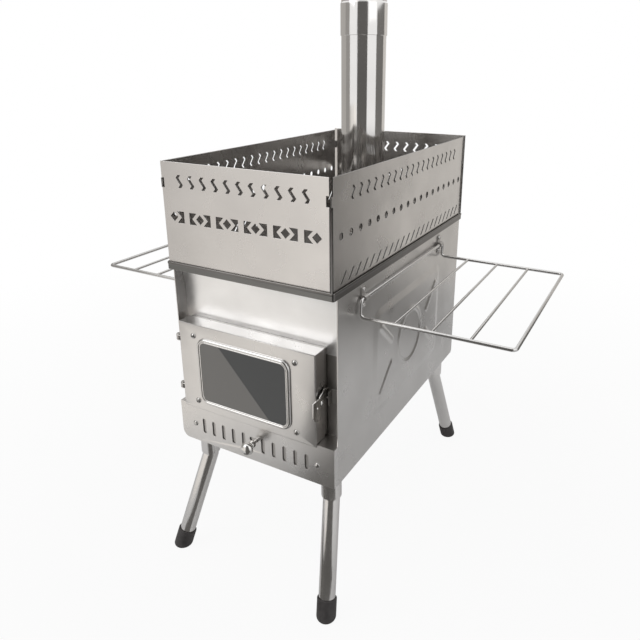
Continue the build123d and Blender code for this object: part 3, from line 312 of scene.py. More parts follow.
@dataclass(frozen=True)
class SmokedGlass:
    """Dark coated glass, with a painted reflection that lightens its lower left half.

    Attributes:
        name: The material's name.
        clear: Colour of the clear half.
        painted_reflection_colour: Colour of the painted reflection on the lower left half.
        edge_way: Across the painted reflection's edge, towards the clear half.
        edge_place: Where the painted reflection ends, in metres along edge_way.
        edge_soft: Half the width in millimetres over which it fades.
        soot: Scale of the noise in the glass's sheen along X, Y and Z.
    """

    name: str = "smoked_glass"
    clear: Colour = (0.07, 0.074, 0.076)
    painted_reflection_colour: Colour = (0.23, 0.222, 0.21)
    edge_way: Point = (0.744, 0.0, 0.669)
    edge_place: float = 0.1768
    edge_soft: float = 0.8
    soot: Point = (18.0, 18.0, 30.0)

    def material(self) -> bpy.types.Material:
        """Builds the material."""
        sheet = ShaderSheet(self.name)
        soot = sheet.noise(self.soot, detail=4.0, seed=5.0)
        across = sheet.dot(sheet.place(), self.edge_way)
        soft = self.edge_soft * MM
        # Painted reflection: the lower left half of the pane is lighter, standing for a reflection in the
        # glass.
        painted_reflection_share = sheet.spread(across, 0.0, 1.0, self.edge_place + soft, self.edge_place - soft)
        return sheet.surface(
            Base_Color=sheet.tint(painted_reflection_share, self.clear, self.painted_reflection_colour),
            Roughness=sheet.spread(soot, 0.05, 0.13, 0.3, 0.7),
            IOR=1.5,
        )


@dataclass(frozen=True)
class HeatDarkened:
    """Plain steel plate with a blue-black heat scale and ash dust.

    Attributes:
        name: The material's name.
        scaled: Colour of the heat scale.
        ashen: Colour where ash lies on it.
        patches: Scale of the noise that parts the two along X, Y and Z.
    """

    name: str = "grate_scale"
    scaled: Colour = (0.05, 0.048, 0.05)
    ashen: Colour = (0.13, 0.12, 0.11)
    patches: Point = (35.0, 35.0, 35.0)

    def material(self) -> bpy.types.Material:
        """Builds the material."""
        sheet = ShaderSheet(self.name)
        ash = sheet.noise(self.patches, detail=6.0)
        return sheet.surface(
            Base_Color=sheet.tint(sheet.spread(ash, 0.0, 1.0, 0.35, 0.65), self.scaled, self.ashen),
            Roughness=sheet.spread(ash, 0.45, 0.75, 0.3, 0.7),
            Metallic=0.6,
        )


@dataclass(frozen=True)
class RopeSeal:
    """Woven glass-fibre rope, pale grey and matte.

    Attributes:
        name: The material's name.
        shaded: Colour between the fibres.
        pale: Colour of the fibres.
        fibres: Scale of the fibres' noise along X, Y and Z.
    """

    name: str = "rope_seal"
    shaded: Colour = (0.17, 0.165, 0.155)
    pale: Colour = (0.34, 0.33, 0.31)
    fibres: Point = (700.0, 700.0, 700.0)

    def material(self) -> bpy.types.Material:
        """Builds the material."""
        sheet = ShaderSheet(self.name)
        fibre = sheet.noise(self.fibres, detail=3.0)
        return sheet.surface(
            Base_Color=sheet.tint(fibre, self.shaded, self.pale),
            Roughness=0.9,
            Normal=sheet.bump(fibre, 0.1, 0.8),
        )


class Finishes:
    """The stove's materials, by the record's material slot or by use."""

    def __init__(self) -> None:
        """Builds every material once."""
        self.front = Steel("front_steel", (0.70, 0.685, 0.67), 0.30, Grain.LEVEL_X).material()
        # Painted light: the hood is a much lighter copy of the brushed front steel, standing for the light
        # it catches.
        self.hood = Steel("hood_painted_light_steel", (0.94, 0.935, 0.93), 0.34, Grain.LEVEL_X, 0.03, 0.12).material()
        self.side = Steel("side_steel", (0.66, 0.645, 0.63), 0.30, Grain.LEVEL_Y, 0.002).material()
        self.shield = Steel("shield_steel", (0.68, 0.66, 0.64), 0.24, Grain.LEVEL_Y, 0.002).material()
        self.shield_front = Steel("shield_front_steel", (0.69, 0.67, 0.655), 0.27, Grain.LEVEL_X).material()
        # Painted shade: the deck is a dark copy of the brushed steel, and the lower front band of its rim
        # another, both standing for shade and dark reflections.
        self.rim = Steel("rim_painted_shade_steel", (0.18, 0.172, 0.165), 0.32, Grain.CLOUDY, 0.002).material()
        self.rim_front_painted_shade = Steel("rim_front_steel", (0.19, 0.19, 0.185), 0.30, Grain.LEVEL_X, 0.002).material()
        self.inner = Steel("inner_steel", (0.50, 0.485, 0.47), 0.38, Grain.LEVEL_X, 0.006).material()
        self.bezel = Steel("bezel_steel", (0.66, 0.65, 0.64), 0.20, Grain.CLOUDY, 0.001, 0.04).material()
        mirror = Steel("polished_steel", (0.74, 0.73, 0.71), 0.14, Grain.UPRIGHT, 0.001, 0.04)
        self.mirror = mirror.material()
        pipe = Steel("flue_steel", (0.80, 0.785, 0.77), 0.10, Grain.UPRIGHT, 0.001, 0.04, smudge=0.05)
        self.pipe = pipe.material()
        self.knob = Steel("knob_steel", (0.72, 0.71, 0.69), 0.16, Grain.CLOUDY, 0.001, 0.03).material()
        self.tube = Steel("tube_steel", (0.74, 0.725, 0.71), 0.17, Grain.UPRIGHT, 0.002).material()
        self.wire = Steel("wire_steel", (0.62, 0.61, 0.60), 0.18, Grain.CLOUDY, 0.001).material()
        self.fixing = Steel("fixing_steel", (0.55, 0.54, 0.525), 0.20, Grain.CLOUDY, 0.001).material()
        self.grate = HeatDarkened().material()
        # Painted shade: cut edges are near black, standing for the shade seen in slots and at sheet edges.
        self.cut = Steel("cut_edge_painted_shade_steel", (0.05, 0.048, 0.045), 0.45, Grain.CLOUDY, 0.004).material()
        self.rubber = Rubber().material()
        self.glass = SmokedGlass().material()
        self.seal = RopeSeal().material()


# Mesh helpers


def new_object(name: str, mesh: bpy.types.Mesh) -> bpy.types.Object:
    """Links a new object for a mesh and returns it."""
    made = bpy.data.objects.new(name, mesh)
    bpy.context.collection.objects.link(made)
    return made


def mesh_from(name: str, points: Sequence[Point], faces: Sequence[Sequence[int]]) -> bpy.types.Mesh:
    """Returns a mesh of points and faces."""
    mesh = bpy.data.meshes.new(name)
    mesh.from_pydata([tuple(p) for p in points], [], [tuple(f) for f in faces])
    mesh.update()
    return mesh


def lathe(name: str, profile: Sequence[Flat], sides: int, place: Matrix) -> bpy.types.Mesh:
    """Turns a profile of radius and height, in millimetres, about Z.

    Args:
        name: The mesh's name.
        profile: Radius and height of each point; a radius of zero closes the end.
        sides: Number of steps around the axis.
        place: Where the turned shape goes.

    Returns:
        The turned mesh, smooth shaded, with its normals outwards.
    """
    shape = bmesh.new()
    rings = []
    for radius, height in profile:
        if radius == 0.0:
            rings.append([shape.verts.new((0.0, 0.0, height * MM))])
            continue
        around = [2 * math.pi * i / sides for i in range(sides)]
        ring = [(radius * math.cos(a) * MM, radius * math.sin(a) * MM, height * MM) for a in around]
        rings.append([shape.verts.new(point) for point in ring])
    for low, high in zip(rings, rings[1:]):
        for i in range(sides):
            j = (i + 1) % sides
            corners = [low[i % len(low)], low[j % len(low)], high[j % len(high)], high[i % len(high)]]
            unique = list(dict.fromkeys(corners))
            if len(unique) > 2:
                shape.faces.new(unique)
    bmesh.ops.remove_doubles(shape, verts=shape.verts, dist=TIDY_WELD)
    mesh = finished_mesh(name, shape)
    mesh.transform(place)
    return mesh


def finished_mesh(name: str, shape: bmesh.types.BMesh) -> bpy.types.Mesh:
    """Turns a bmesh into a smooth-shaded mesh with outward normals and sharp creases."""
    bmesh.ops.recalc_face_normals(shape, faces=shape.faces)
    mesh = bpy.data.meshes.new(name)
    shape.to_mesh(mesh)
    shape.free()
    mesh.polygons.foreach_set("use_smooth", [True] * len(mesh.polygons))
    mesh.set_sharp_from_angle(angle=CREASE)
    return mesh


def rounded_loop(low: Flat, high: Flat, radius: float, steps: int = 8) -> list[Flat]:
    """Walks round a rectangle with rounded corners.

    Args:
        low: Lower corner.
        high: Upper corner.
        radius: Corner radius.
        steps: Points in each corner.

    Returns:
        Points in order, the same number for every size and radius.
    """
    points = []
    centres = (
        (high[0] - radius, high[1] - radius),
        (low[0] + radius, high[1] - radius),
        (low[0] + radius, low[1] + radius),
        (high[0] - radius, low[1] + radius),
    )
    for quarter, (u, v) in enumerate(centres):
        for k in range(steps + 1):
            angle = math.radians(90 * (quarter + k / steps))
            points.append((u + radius * math.cos(angle), v + radius * math.sin(angle)))
    return points


def bridged(shape: bmesh.types.BMesh, rings: Sequence[Sequence[Point]], closed: bool) -> list[list]:
    """Joins rings of points with bands of faces.

    Args:
        shape: The bmesh that gets the faces.
        rings: Rings with equal numbers of points.
        closed: Whether the last ring joins the first.

    Returns:
        The new corners, ring by ring.
    """
    made = [[shape.verts.new(point) for point in ring] for ring in rings]
    pairs = list(zip(made, made[1:]))
    if closed:
        pairs.append((made[-1], made[0]))
    for low, high in pairs:
        for i in range(len(low)):
            j = (i + 1) % len(low)
            shape.faces.new((low[i], low[j], high[j], high[i]))
    return made


def rounded_path(corners: Sequence[Vector], radius: float, steps: int, closed: bool = False) -> list[Vector]:
    """Rounds the corners of a path of straight runs.

    Args:
        corners: The path's corners, in order.
        radius: Bend radius.
        steps: Points in each bend.
        closed: Whether the last corner joins the first.

    Returns:
        Points along the rounded path.
    """
    count = len(corners)
    points = []
    for i, corner in enumerate(corners):
        if not closed and i in (0, count - 1):
            points.append(corner.copy())
            continue
        back = (corners[i - 1] - corner).normalized()
        ahead = (corners[(i + 1) % count] - corner).normalized()
        half = back.angle(ahead) / 2
        centre = corner + (back + ahead).normalized() * (radius / math.sin(half))
        start = corner + back * (radius / math.tan(half))
        end = corner + ahead * (radius / math.tan(half))
        for k in range(steps + 1):
            mix = start.lerp(end, k / steps)
            points.append(centre + (mix - centre).normalized() * radius)
    return points


def path_mesh(name: str, paths: Sequence[tuple[Sequence[Vector], bool]]) -> bpy.types.Mesh:
    """Returns a mesh of edges only, one chain for each path.

    Args:
        name: The mesh's name.
        paths: Each path's points, and whether it is closed.

    Returns:
        The mesh.
    """
    points = []
    edges = []
    for path, closed in paths:
        start = len(points)
        points += [tuple(p) for p in path]
        edges += [(start + i, start + i + 1) for i in range(len(path) - 1)]
        if closed:
            edges.append((len(points) - 1, start))
    mesh = bpy.data.meshes.new(name)
    mesh.from_pydata(points, edges, [])
    return mesh


def merged(node: str, dissolved: bool = True) -> bmesh.types.BMesh:
    """Joins a CAD node's loose triangles into one skin.

    Args:
        node: The CAD node.
        dissolved: Whether triangles that lie in one plane become one face.

    Returns:
        The skin.
    """
    shape = bmesh.new()
    shape.from_mesh(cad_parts[node].data)
    bmesh.ops.remove_doubles(shape, verts=shape.verts, dist=WELD)
    if dissolved:
        bmesh.ops.dissolve_limit(shape, angle_limit=FLATNESS, verts=shape.verts, edges=shape.edges)
    return shape


def skinned(
    shape: bmesh.types.BMesh, node: str, name: str, material: bpy.types.Material
) -> bpy.types.Object:
    """Makes a new piece from the worked skin of a CAD node.

    Args:
        shape: The skin, which is used up.
        node: The CAD node it came from.
        name: Name of the new piece.
        material: The piece's material.

    Returns:
        The new piece.
    """
    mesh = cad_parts[node].data.copy()
    mesh.name = name
    shape.to_mesh(mesh)
    shape.free()
    mesh.materials.clear()
    mesh.materials.append(material)
    return new_object(name, mesh)


def softened(node: str, name: str, width: float, material: bpy.types.Material) -> bpy.types.Object:
    """Copies a CAD node with its hard edges slightly rounded.

    Args:
        node: The CAD node.
        name: Name of the new piece.
        width: Width of the rounding.
        material: The piece's material.

    Returns:
        The new piece.
    """
    piece = skinned(merged(node), node, name, material)
    bevel = piece.modifiers.new("edge", "BEVEL")
    bevel.width = width
    bevel.segments = 1
    bevel.limit_method = "ANGLE"
    bevel.angle_limit = HARD_EDGE
    bevel.use_clamp_overlap = True
    return flattened(piece)


def outlines(node: str, way: Vector) -> list[list[Vector]]:
    """Finds the outer and inner outlines of a CAD sheet's flat face.

    Args:
        node: The CAD node.
        way: The way the face looks, along one axis.

    Returns:
        The outlines' points in order.
    """
    shape = merged(node, dissolved=False)
    level = max(vert.co.dot(way) for vert in shape.verts)
    depth = 0.01 * MM
    face_set = {
        face
        for face in shape.faces
        if face.normal.dot(way) > 0.999 and level - face.calc_center_median().dot(way) < depth
    }
    rims = [edge for edge in shape.edges if sum(face in face_set for face in edge.link_faces) == 1]
    beside: dict[int, list[bmesh.types.BMVert]] = {}
    for edge in rims:
        for one, two in (edge.verts, reversed(edge.verts)):
            beside.setdefault(one.index, []).append(two)
    shape.verts.ensure_lookup_table()
    left = set(beside)
    loops = []
    while left:
        start = shape.verts[min(left)]
        path = [start]
        left.discard(start.index)
        ahead = next((vert for vert in beside[start.index] if vert.index in left), None)
        while ahead is not None:
            path.append(ahead)
            left.discard(ahead.index)
            ahead = next((vert for vert in beside[ahead.index] if vert.index in left), None)
        loops.append([vert.co.copy() for vert in path])
    shape.free()
    return loops


def rolled_sheet(
    node: str, way: Vector, thickness: float, rounding: float, materials: Sequence[bpy.types.Material]
) -> bpy.types.Object:
    """Rebuilds a flat CAD sheet as a filled curve whose every cut edge is rounded.

    Args:
        node: The CAD node.
        way: The way its outer face looks, along X or Y.
        thickness: Thickness of the sheet.
        rounding: Radius of its edges.
        materials: Finishes of its faces and of its cut edges; the second paints shade into the cut edges.

    Returns:
        The new piece.
    """
    name = node + "_piece"
    across = Vector((0.0, 0.0, 1.0)).cross(way).normalized()
    up = way.cross(across)
    level = max(Vector(vert.co).dot(way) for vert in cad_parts[node].data.vertices)
    curve = bpy.data.curves.new(name, "CURVE")
    curve.dimensions = "2D"
    curve.fill_mode = "BOTH"
    curve.extrude = thickness / 2 - rounding
    curve.bevel_depth = rounding
    curve.bevel_resolution = 1
    curve.offset = -rounding
    for loop in outlines(node, way):
        spline = curve.splines.new("POLY")
        spline.points.add(len(loop) - 1)
        for point, place in zip(spline.points, loop):
            point.co = (place.dot(across), place.dot(up), 0.0, 1.0)
        spline.use_cyclic_u = True
    drawn = bpy.data.objects.new(name + "_curve", curve)
    bpy.context.collection.objects.link(drawn)
    graph = bpy.context.evaluated_depsgraph_get()
    mesh = bpy.data.meshes.new_from_object(drawn.evaluated_get(graph))
    bpy.data.objects.remove(drawn)
    turn = Matrix((across, up, way)).transposed().to_4x4()
    mesh.transform(Matrix.Translation(way * (level - thickness / 2)) @ turn)
    shape = bmesh.new()
    shape.from_mesh(mesh)
    bmesh.ops.remove_doubles(shape, verts=shape.verts, dist=TIDY_WELD)
    made = finished_mesh(name, shape)
    made.polygons.foreach_set("use_smooth", [not is_flat(face) for face in made.polygons])
    for material in materials:
        made.materials.append(material)
    # Faces across the sheet take the second finish, which paints shade into the cut edges.
    for face in made.polygons:
        is_cut = abs(face.normal.dot(way)) < 0.3
        face.material_index = int(is_cut)
    return new_object(name, made)


def flattened(piece: bpy.types.Object) -> bpy.types.Object:
    """Turns a piece's modifiers into a plain mesh, with smooth shading below 30 degrees."""
    graph = bpy.context.evaluated_depsgraph_get()
    mesh = bpy.data.meshes.new_from_object(piece.evaluated_get(graph))
    piece.modifiers.clear()
    piece.data = mesh
    mesh.polygons.foreach_set("use_smooth", [not is_flat(face) for face in mesh.polygons])
    mesh.set_sharp_from_angle(angle=CREASE)
    return piece


def is_flat(face: bpy.types.MeshPolygon) -> bool:
    """Tells whether a face belongs to a plain sheet surface square to an axis."""
    return max(abs(c) for c in face.normal) > SQUARE_TO_AXIS


# Geometry Nodes


class Recipe(Graph):
    """A Geometry Nodes tree with named inputs."""

    def __init__(self, name: str) -> None:
        """Starts a tree that takes geometry and gives geometry.

        Args:
            name: The tree's name.
        """
        super().__init__(bpy.data.node_groups.new(name, "GeometryNodeTree"))
        for way in ("INPUT", "OUTPUT"):
            self.tree.interface.new_socket("Geometry", in_out=way, socket_type="NodeSocketGeometry")
        self.sockets: dict[str, str] = {}
        self.entry = self.tree.nodes.new("NodeGroupInput")
        self.exit = self.tree.nodes.new("NodeGroupOutput")

    def asks(self, name: str, kind: str) -> bpy.types.NodeSocket:
        """Adds a named input.

        Args:
            name: The input's name.
            kind: Its socket type.

        Returns:
            The input's socket inside the tree.
        """
        made = self.tree.interface.new_socket(name, in_out="INPUT", socket_type=kind)
        self.sockets[name] = made.identifier
        return self.entry.outputs[name]

    def close(self, geometry: bpy.types.NodeSocket) -> None:
        """Ends the tree: instances are made real and given their material.

        Args:
            geometry: The geometry to end with.
        """
        material = self.asks("Material", "NodeSocketMaterial")
        real = self.add("GeometryNodeRealizeInstances", Geometry=geometry)
        painted = self.add("GeometryNodeSetMaterial", Geometry=real.outputs[0], Material=material)
        self.tree.links.new(painted.outputs[0], self.exit.inputs[0])

    def grow(self, name: str, base: bpy.types.Mesh, **values: object) -> bpy.types.Object:
        """Runs the tree on a base mesh and keeps the result as a plain mesh.

        Args:
            name: Name of the new piece.
            base: The mesh that the tree starts from.
            **values: The tree's inputs by name, with underscores for spaces.

        Returns:
            The finished piece.
        """
        piece = new_object(name, base)
        modifier = piece.modifiers.new("recipe", "NODES")
        modifier.node_group = self.tree
        for label, value in values.items():
            modifier[self.sockets[label.replace("_", " ")]] = value
        piece.update_tag()
        bpy.context.view_layer.update()
        graph = bpy.context.evaluated_depsgraph_get()
        mesh = bpy.data.meshes.new_from_object(piece.evaluated_get(graph))
        mesh.name = name
        piece.modifiers.remove(modifier)
        piece.data = mesh
        return piece


class TubeRecipe(Recipe):
    """Bends round bar or wire along every path of a mesh of edges."""

    def __init__(self) -> None:
        """Builds the tree."""
        super().__init__("tube_along_path")
        radius = self.asks("Radius", "NodeSocketFloat")
        sides = self.asks("Sides", "NodeSocketInt")
        curve = self.add("GeometryNodeMeshToCurve", Mesh=self.entry.outputs["Geometry"])
        ring = self.add("GeometryNodeCurvePrimitiveCircle", Radius=radius, Resolution=sides)
        tube = self.add(
            "GeometryNodeCurveToMesh",
            Curve=curve.outputs[0],
            Profile_Curve=ring.outputs[0],
            Fill_Caps=True,
        )
        shaded = self.add("GeometryNodeSetShadeSmooth", Geometry=tube.outputs[0], Shade_Smooth=True)
        self.close(shaded.outputs[0])


class HeadRecipe(Recipe):
    """Sets a copy of a fastener's head on every point, turned to face the point's own way."""

    FACING = "facing"

    def __init__(self) -> None:
        """Builds the tree."""
        super().__init__("heads_on_points")
        head = self.asks("Head", "NodeSocketObject")
        spin = self.asks("Spin", "NodeSocketFloat")
        seed = self.asks("Seed", "NodeSocketInt")
        source = self.add("GeometryNodeObjectInfo", Object=head)
        facing = self.add("GeometryNodeInputNamedAttribute", {"data_type": "FLOAT_VECTOR"}, Name=self.FACING)
        turn = self.add("FunctionNodeAlignRotationToVector", {"axis": "Z"}, Vector=facing.outputs[0])
        chance = self.add("FunctionNodeRandomValue", Seed=seed)
        self.tree.links.new(spin, chance.inputs[3])
        about = self.add("FunctionNodeAxisAngleToRotation", Axis=(0.0, 0.0, 1.0), Angle=chance.outputs[1])
        both = self.add(
            "FunctionNodeRotateRotation",
            {"rotation_space": "LOCAL"},
            Rotation=turn.outputs[0],
            Rotate_By=about.outputs[0],
        )
        copies = self.add(
            "GeometryNodeInstanceOnPoints",
            Points=self.entry.outputs["Geometry"],
            Instance=source.outputs["Geometry"],
            Rotation=both.outputs[0],
        )
        self.close(copies.outputs[0])

    @classmethod
    def points(cls, places: Sequence[tuple[Vector, Vector]]) -> bpy.types.Mesh:
        """Returns a mesh of points that remember which way each faces.

        Args:
            places: Each point's place and direction.

        Returns:
            The mesh of points.
        """
        mesh = bpy.data.meshes.new("places")
        mesh.from_pydata([tuple(place) for place, _ in places], [], [])
        facing = mesh.attributes.new(cls.FACING, "FLOAT_VECTOR", "POINT")
        facing.data.foreach_set("vector", [c for _, way in places for c in way])
        return mesh


class RopeRecipe(Recipe):
    """Lays slanted strands along a closed path, as a twisted rope seal."""

    STRAND = (0.62, 1.0, 1.5)
    SLANT = math.radians(38)

    def __init__(self) -> None:
        """Builds the tree."""
        super().__init__("rope_along_path")
        radius = self.asks("Radius", "NodeSocketFloat")
        pitch = self.asks("Pitch", "NodeSocketFloat")
        curve = self.add("GeometryNodeMeshToCurve", Mesh=self.entry.outputs["Geometry"])
        spacing = {"mode": "LENGTH"}
        even = self.add("GeometryNodeResampleCurve", spacing, Curve=curve.outputs[0], Length=pitch)
        strand = self.add("GeometryNodeMeshUVSphere", Segments=10, Rings=6, Radius=radius)
        shape = self.add("GeometryNodeTransform", Geometry=strand.outputs[0], Scale=self.STRAND)
        tangent = self.add("GeometryNodeInputTangent")
        turn = self.add("FunctionNodeAlignRotationToVector", {"axis": "Z"}, Vector=tangent.outputs[0])
        slant = self.add(
            "FunctionNodeRotateRotation",
            {"rotation_space": "LOCAL"},
            Rotation=turn.outputs[0],
            Rotate_By=(0.0, self.SLANT, 0.0),
        )
        strands = self.add(
            "GeometryNodeInstanceOnPoints",
            Points=even.outputs[0],
            Instance=shape.outputs[0],
            Rotation=slant.outputs[0],
        )
        smooth = self.add("GeometryNodeRealizeInstances", Geometry=strands.outputs[0])
        shaded = self.add("GeometryNodeSetShadeSmooth", Geometry=smooth.outputs[0], Shade_Smooth=True)
        self.close(shaded.outputs[0])


class PressRecipe(Recipe):
    """Presses a rounded field, four slanted ribs and a ring out of a flat sheet that faces X."""

    def __init__(self) -> None:
        """Builds the tree."""
        super().__init__("pressed_sheet")
        centre = self.asks("Centre", "NodeSocketVector")
        half = self.asks("Half Size", "NodeSocketVector")
        corner = self.asks("Corner", "NodeSocketFloat")
        step = self.asks("Step", "NodeSocketFloat")
        inner = self.asks("Rib Inner End", "NodeSocketVector")
        outer = self.asks("Rib Outer End", "NodeSocketVector")
        rib = self.asks("Rib Half Width", "NodeSocketFloat")
        ring = self.asks("Ring Radius", "NodeSocketFloat")
        band = self.asks("Ring Half Width", "NodeSocketFloat")
        crest = self.asks("Rib Step", "NodeSocketFloat")
        ramp = self.asks("Ramp", "NodeSocketFloat")
        field_ramp = self.asks("Field Ramp", "NodeSocketFloat")
        place = self.add("GeometryNodeInputPosition").outputs[0]
        away = self.vector("MULTIPLY", self.vector("SUBTRACT", place, centre), (0.0, 1.0, 1.0))
        folded = self.vector("ABSOLUTE", away)
        field = self.lift(self.rounded_box(folded, half, corner), field_ramp)
        along = self.vector("SUBTRACT", outer, inner)
        start = self.vector("SUBTRACT", folded, inner)
        share = self.math("DIVIDE", self.dot(start, along), self.dot(along, along))
        held = self.math("MINIMUM", self.math("MAXIMUM", share, 0.0), 1.0)
        scaled = self.add("ShaderNodeVectorMath", {"operation": "SCALE"}, Vector=along, Scale=held)
        gap = self.vector("SUBTRACT", start, scaled.outputs[0])
        ribs = self.lift(self.math("SUBTRACT", self.length(gap), rib), ramp)
        off_ring = self.math("ABSOLUTE", self.math("SUBTRACT", self.length(away), ring))
        bead = self.lift(self.math("SUBTRACT", off_ring, band), ramp)
        raised = self.math("MULTIPLY", self.math("MAXIMUM", ribs, bead), crest)
        height = self.math("ADD", self.math("MULTIPLY", field, step), raised)
        offset = self.add("ShaderNodeCombineXYZ", X=height)
        pressed = self.add(
            "GeometryNodeSetPosition", Geometry=self.entry.outputs["Geometry"], Offset=offset.outputs[0]
        )
        self.close(pressed.outputs[0])

    def rounded_box(
        self, folded: bpy.types.NodeSocket, half: bpy.types.NodeSocket, corner: bpy.types.NodeSocket
    ) -> bpy.types.NodeSocket:
        """Returns the distance from the edge of a rounded rectangle, negative inside it."""
        corners = self.add("ShaderNodeCombineXYZ", Y=corner, Z=corner).outputs[0]
        over = self.vector("SUBTRACT", folded, self.vector("SUBTRACT", half, corners))
        level = self.vector("MULTIPLY", over, (0.0, 1.0, 1.0))
        outside = self.length(self.vector("MAXIMUM", level, (0.0, 0.0, 0.0)))
        parts = self.add("ShaderNodeSeparateXYZ", Vector=over)
        inside = self.math("MINIMUM", self.math("MAXIMUM", parts.outputs["Y"], parts.outputs["Z"]), 0.0)
        return self.math("SUBTRACT", self.math("ADD", outside, inside), corner)

    def lift(self, distance: bpy.types.NodeSocket, ramp: bpy.types.NodeSocket) -> bpy.types.NodeSocket:
        """Returns 1 well inside an edge and 0 outside it, with a straight ramp between."""
        node = self.add(
            "ShaderNodeMapRange",
            {"interpolation_type": "LINEAR"},
            Value=distance,
            From_Min=0.0,
            From_Max=self.math("MULTIPLY", ramp, -1.0),
            To_Min=0.0,
            To_Max=1.0,
        )
        return node.outputs[0]


@dataclass
class Workshop:
    """What every sub-assembly is made with.

    Attributes:
        finishes: The materials.
        tube: Bends tubes and wires.
        heads: Sets fastener heads.
        rope: Lays rope seals.
        press: Presses the side panels.
        edge: Width in millimetres of the broken edges of sheet metal.
        head_sides: Steps around a fastener's head.
        head_seed: Seed of the heads' random turns.
        rod_sides: Steps around a rod.
    """

    finishes: Finishes = field(default_factory=Finishes)
    tube: TubeRecipe = field(default_factory=TubeRecipe)
    heads: HeadRecipe = field(default_factory=HeadRecipe)
    rope: RopeRecipe = field(default_factory=RopeRecipe)
    press: PressRecipe = field(default_factory=PressRecipe)
    edge: float = 0.22
    head_sides: int = 28
    head_seed: int = 11
    rod_sides: int = 24

    def soften(self, material: bpy.types.Material, slot: str, body: str, *nodes: str) -> None:
        """Replaces CAD nodes by copies whose hard edges are slightly broken.

        Args:
            material: The finish of the copies.
            slot: The record's material slot.
            body: The CAD body they move with.
            *nodes: The CAD nodes.
        """
        for node in nodes:
            piece = softened(node, node + "_piece", self.edge * MM, material)
            self.settle(piece, body, slot, node)

    def roll(
        self, material: bpy.types.Material, slot: str, body: str, way: Vector, thickness: float, *nodes: str
    ) -> None:
        """Replaces flat CAD sheets by sheets whose every cut edge is rounded.

        Args:
            material: The finish of the sheets.
            slot: The record's material slot.
            body: The CAD body they move with.
            way: The way their outer faces look.
            thickness: Their thickness in millimetres.
            *nodes: The CAD nodes.
        """
        for node in nodes:
            # Cut edges take the near-black steel that paints shade into them.
            finish = (material, self.finishes.cut)
            piece = rolled_sheet(node, way, thickness * MM, self.edge * MM, finish)
            self.settle(piece, body, slot, node)

    def turned(
        self,
        name: str,
        profile: Sequence[Flat],
        place: Matrix,
        material: bpy.types.Material,
        sides: int = 48,
    ) -> bpy.types.Object:
        """Returns a turned piece.

        Args:
            name: The piece's name.
            profile: Radius and height of each point, in millimetres.
            place: Where the piece goes; its axis is Z before that.
            material: Its finish.
            sides: Number of steps around the axis.

        Returns:
            The piece.
        """
        mesh = lathe(name, profile, sides, place)
        mesh.materials.append(material)
        return new_object(name, mesh)

    def studs(
        self,
        name: str,
        profile: Sequence[Flat],
        places: Sequence[tuple[Vector, Vector]],
        material: bpy.types.Material,
    ) -> bpy.types.Object:
        """Sets one turned fastener on every place.

        Args:
            name: The piece's name.
            profile: Radius and height of the fastener, in millimetres, above the face it sits on.
            places: Each place with the way the fastener faces.
            material: Its finish.

        Returns:
            The piece.
        """
        pattern = new_object("pattern", lathe("pattern", profile, self.head_sides, Matrix()))
        spun = {"Spin": 2 * math.pi, "Seed": self.head_seed}
        points = HeadRecipe.points(places)
        piece = self.heads.grow(name, points, Head=pattern, Material=material, **spun)
        bpy.data.objects.remove(pattern)
        return piece

    def rods(
        self,
        name: str,
        paths: Sequence[tuple[Sequence[Vector], bool]],
        radius: float,
        material: bpy.types.Material,
    ) -> bpy.types.Object:
        """Bends round bar along paths.

        Args:
            name: The piece's name.
            paths: Each path's points, and whether it is closed.
            radius: Radius of the bar in millimetres.
            material: Its finish.

        Returns:
            The piece.
        """
        base = path_mesh(name, paths)
        return self.tube.grow(name, base, Radius=radius * MM, Sides=self.rod_sides, Material=material)

    def settle(self, piece: bpy.types.Object, body: str, slot: str, *nodes: str) -> None:
        """Hangs a finished piece on its body.

        Args:
            piece: The piece.
            body: The CAD body it moves with.
            slot: The record's material slot; not used.
            *nodes: The CAD nodes it stands for.
        """
        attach(piece, body)
        if nodes:
            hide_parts(*nodes)
        LOG.info("placed %s on %s", piece.name, body)


# Sub-assemblies


@dataclass(frozen=True)
class Rivet:
    """A low round head with a shank behind it, in millimetres.

    Attributes:
        radius: Radius of the head.
        height: Height of the head.
        shank: Radius of the shank.
    """

    radius: float
    height: float
    shank: float = 1.0

    def profile(self, depth: float = 0.1) -> list[Flat]:
        """Returns its section, with a shank that reaches to a depth behind the face it sits on.

        Args:
            depth: Length of the shank.

        Returns:
            Radius and height of each point, from the shank's end to the top of the head.
        """
        rise = [math.radians(90 * k / 6) for k in range(7)]
        crown = [(self.radius * math.cos(a), self.height * math.sin(a)) for a in rise[:-1]]
        return [(0.0, -depth), (self.shank, -depth), (self.shank, 0.0), *crown, (0.0, self.height)]


def spread_places(node: str, inset: float, face: float, way: Vector) -> list[tuple[Vector, Vector]]:
    """Finds the corner places of a group of fasteners from the box round them.

    Args:
        node: The CAD node of the group.
        inset: Head radius in millimetres.
        face: Level of the face they sit on, along the way they face.
        way: The way they face, along one axis.

    Returns:
        Each place with the way the fastener faces.
    """
    low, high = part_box(node)
    axis = max(range(3), key=lambda i: abs(way[i]))
    others = [i for i in range(3) if i != axis]
    choices = [sorted({round(low[i] + inset * MM, 6), round(high[i] - inset * MM, 6)}) for i in others]
    places = []
    for u in choices[0]:
        for v in choices[1]:
            place = Vector((0.0, 0.0, 0.0))
            place[axis] = face
            place[others[0]] = u
            place[others[1]] = v
            places.append((place, way))
    return places


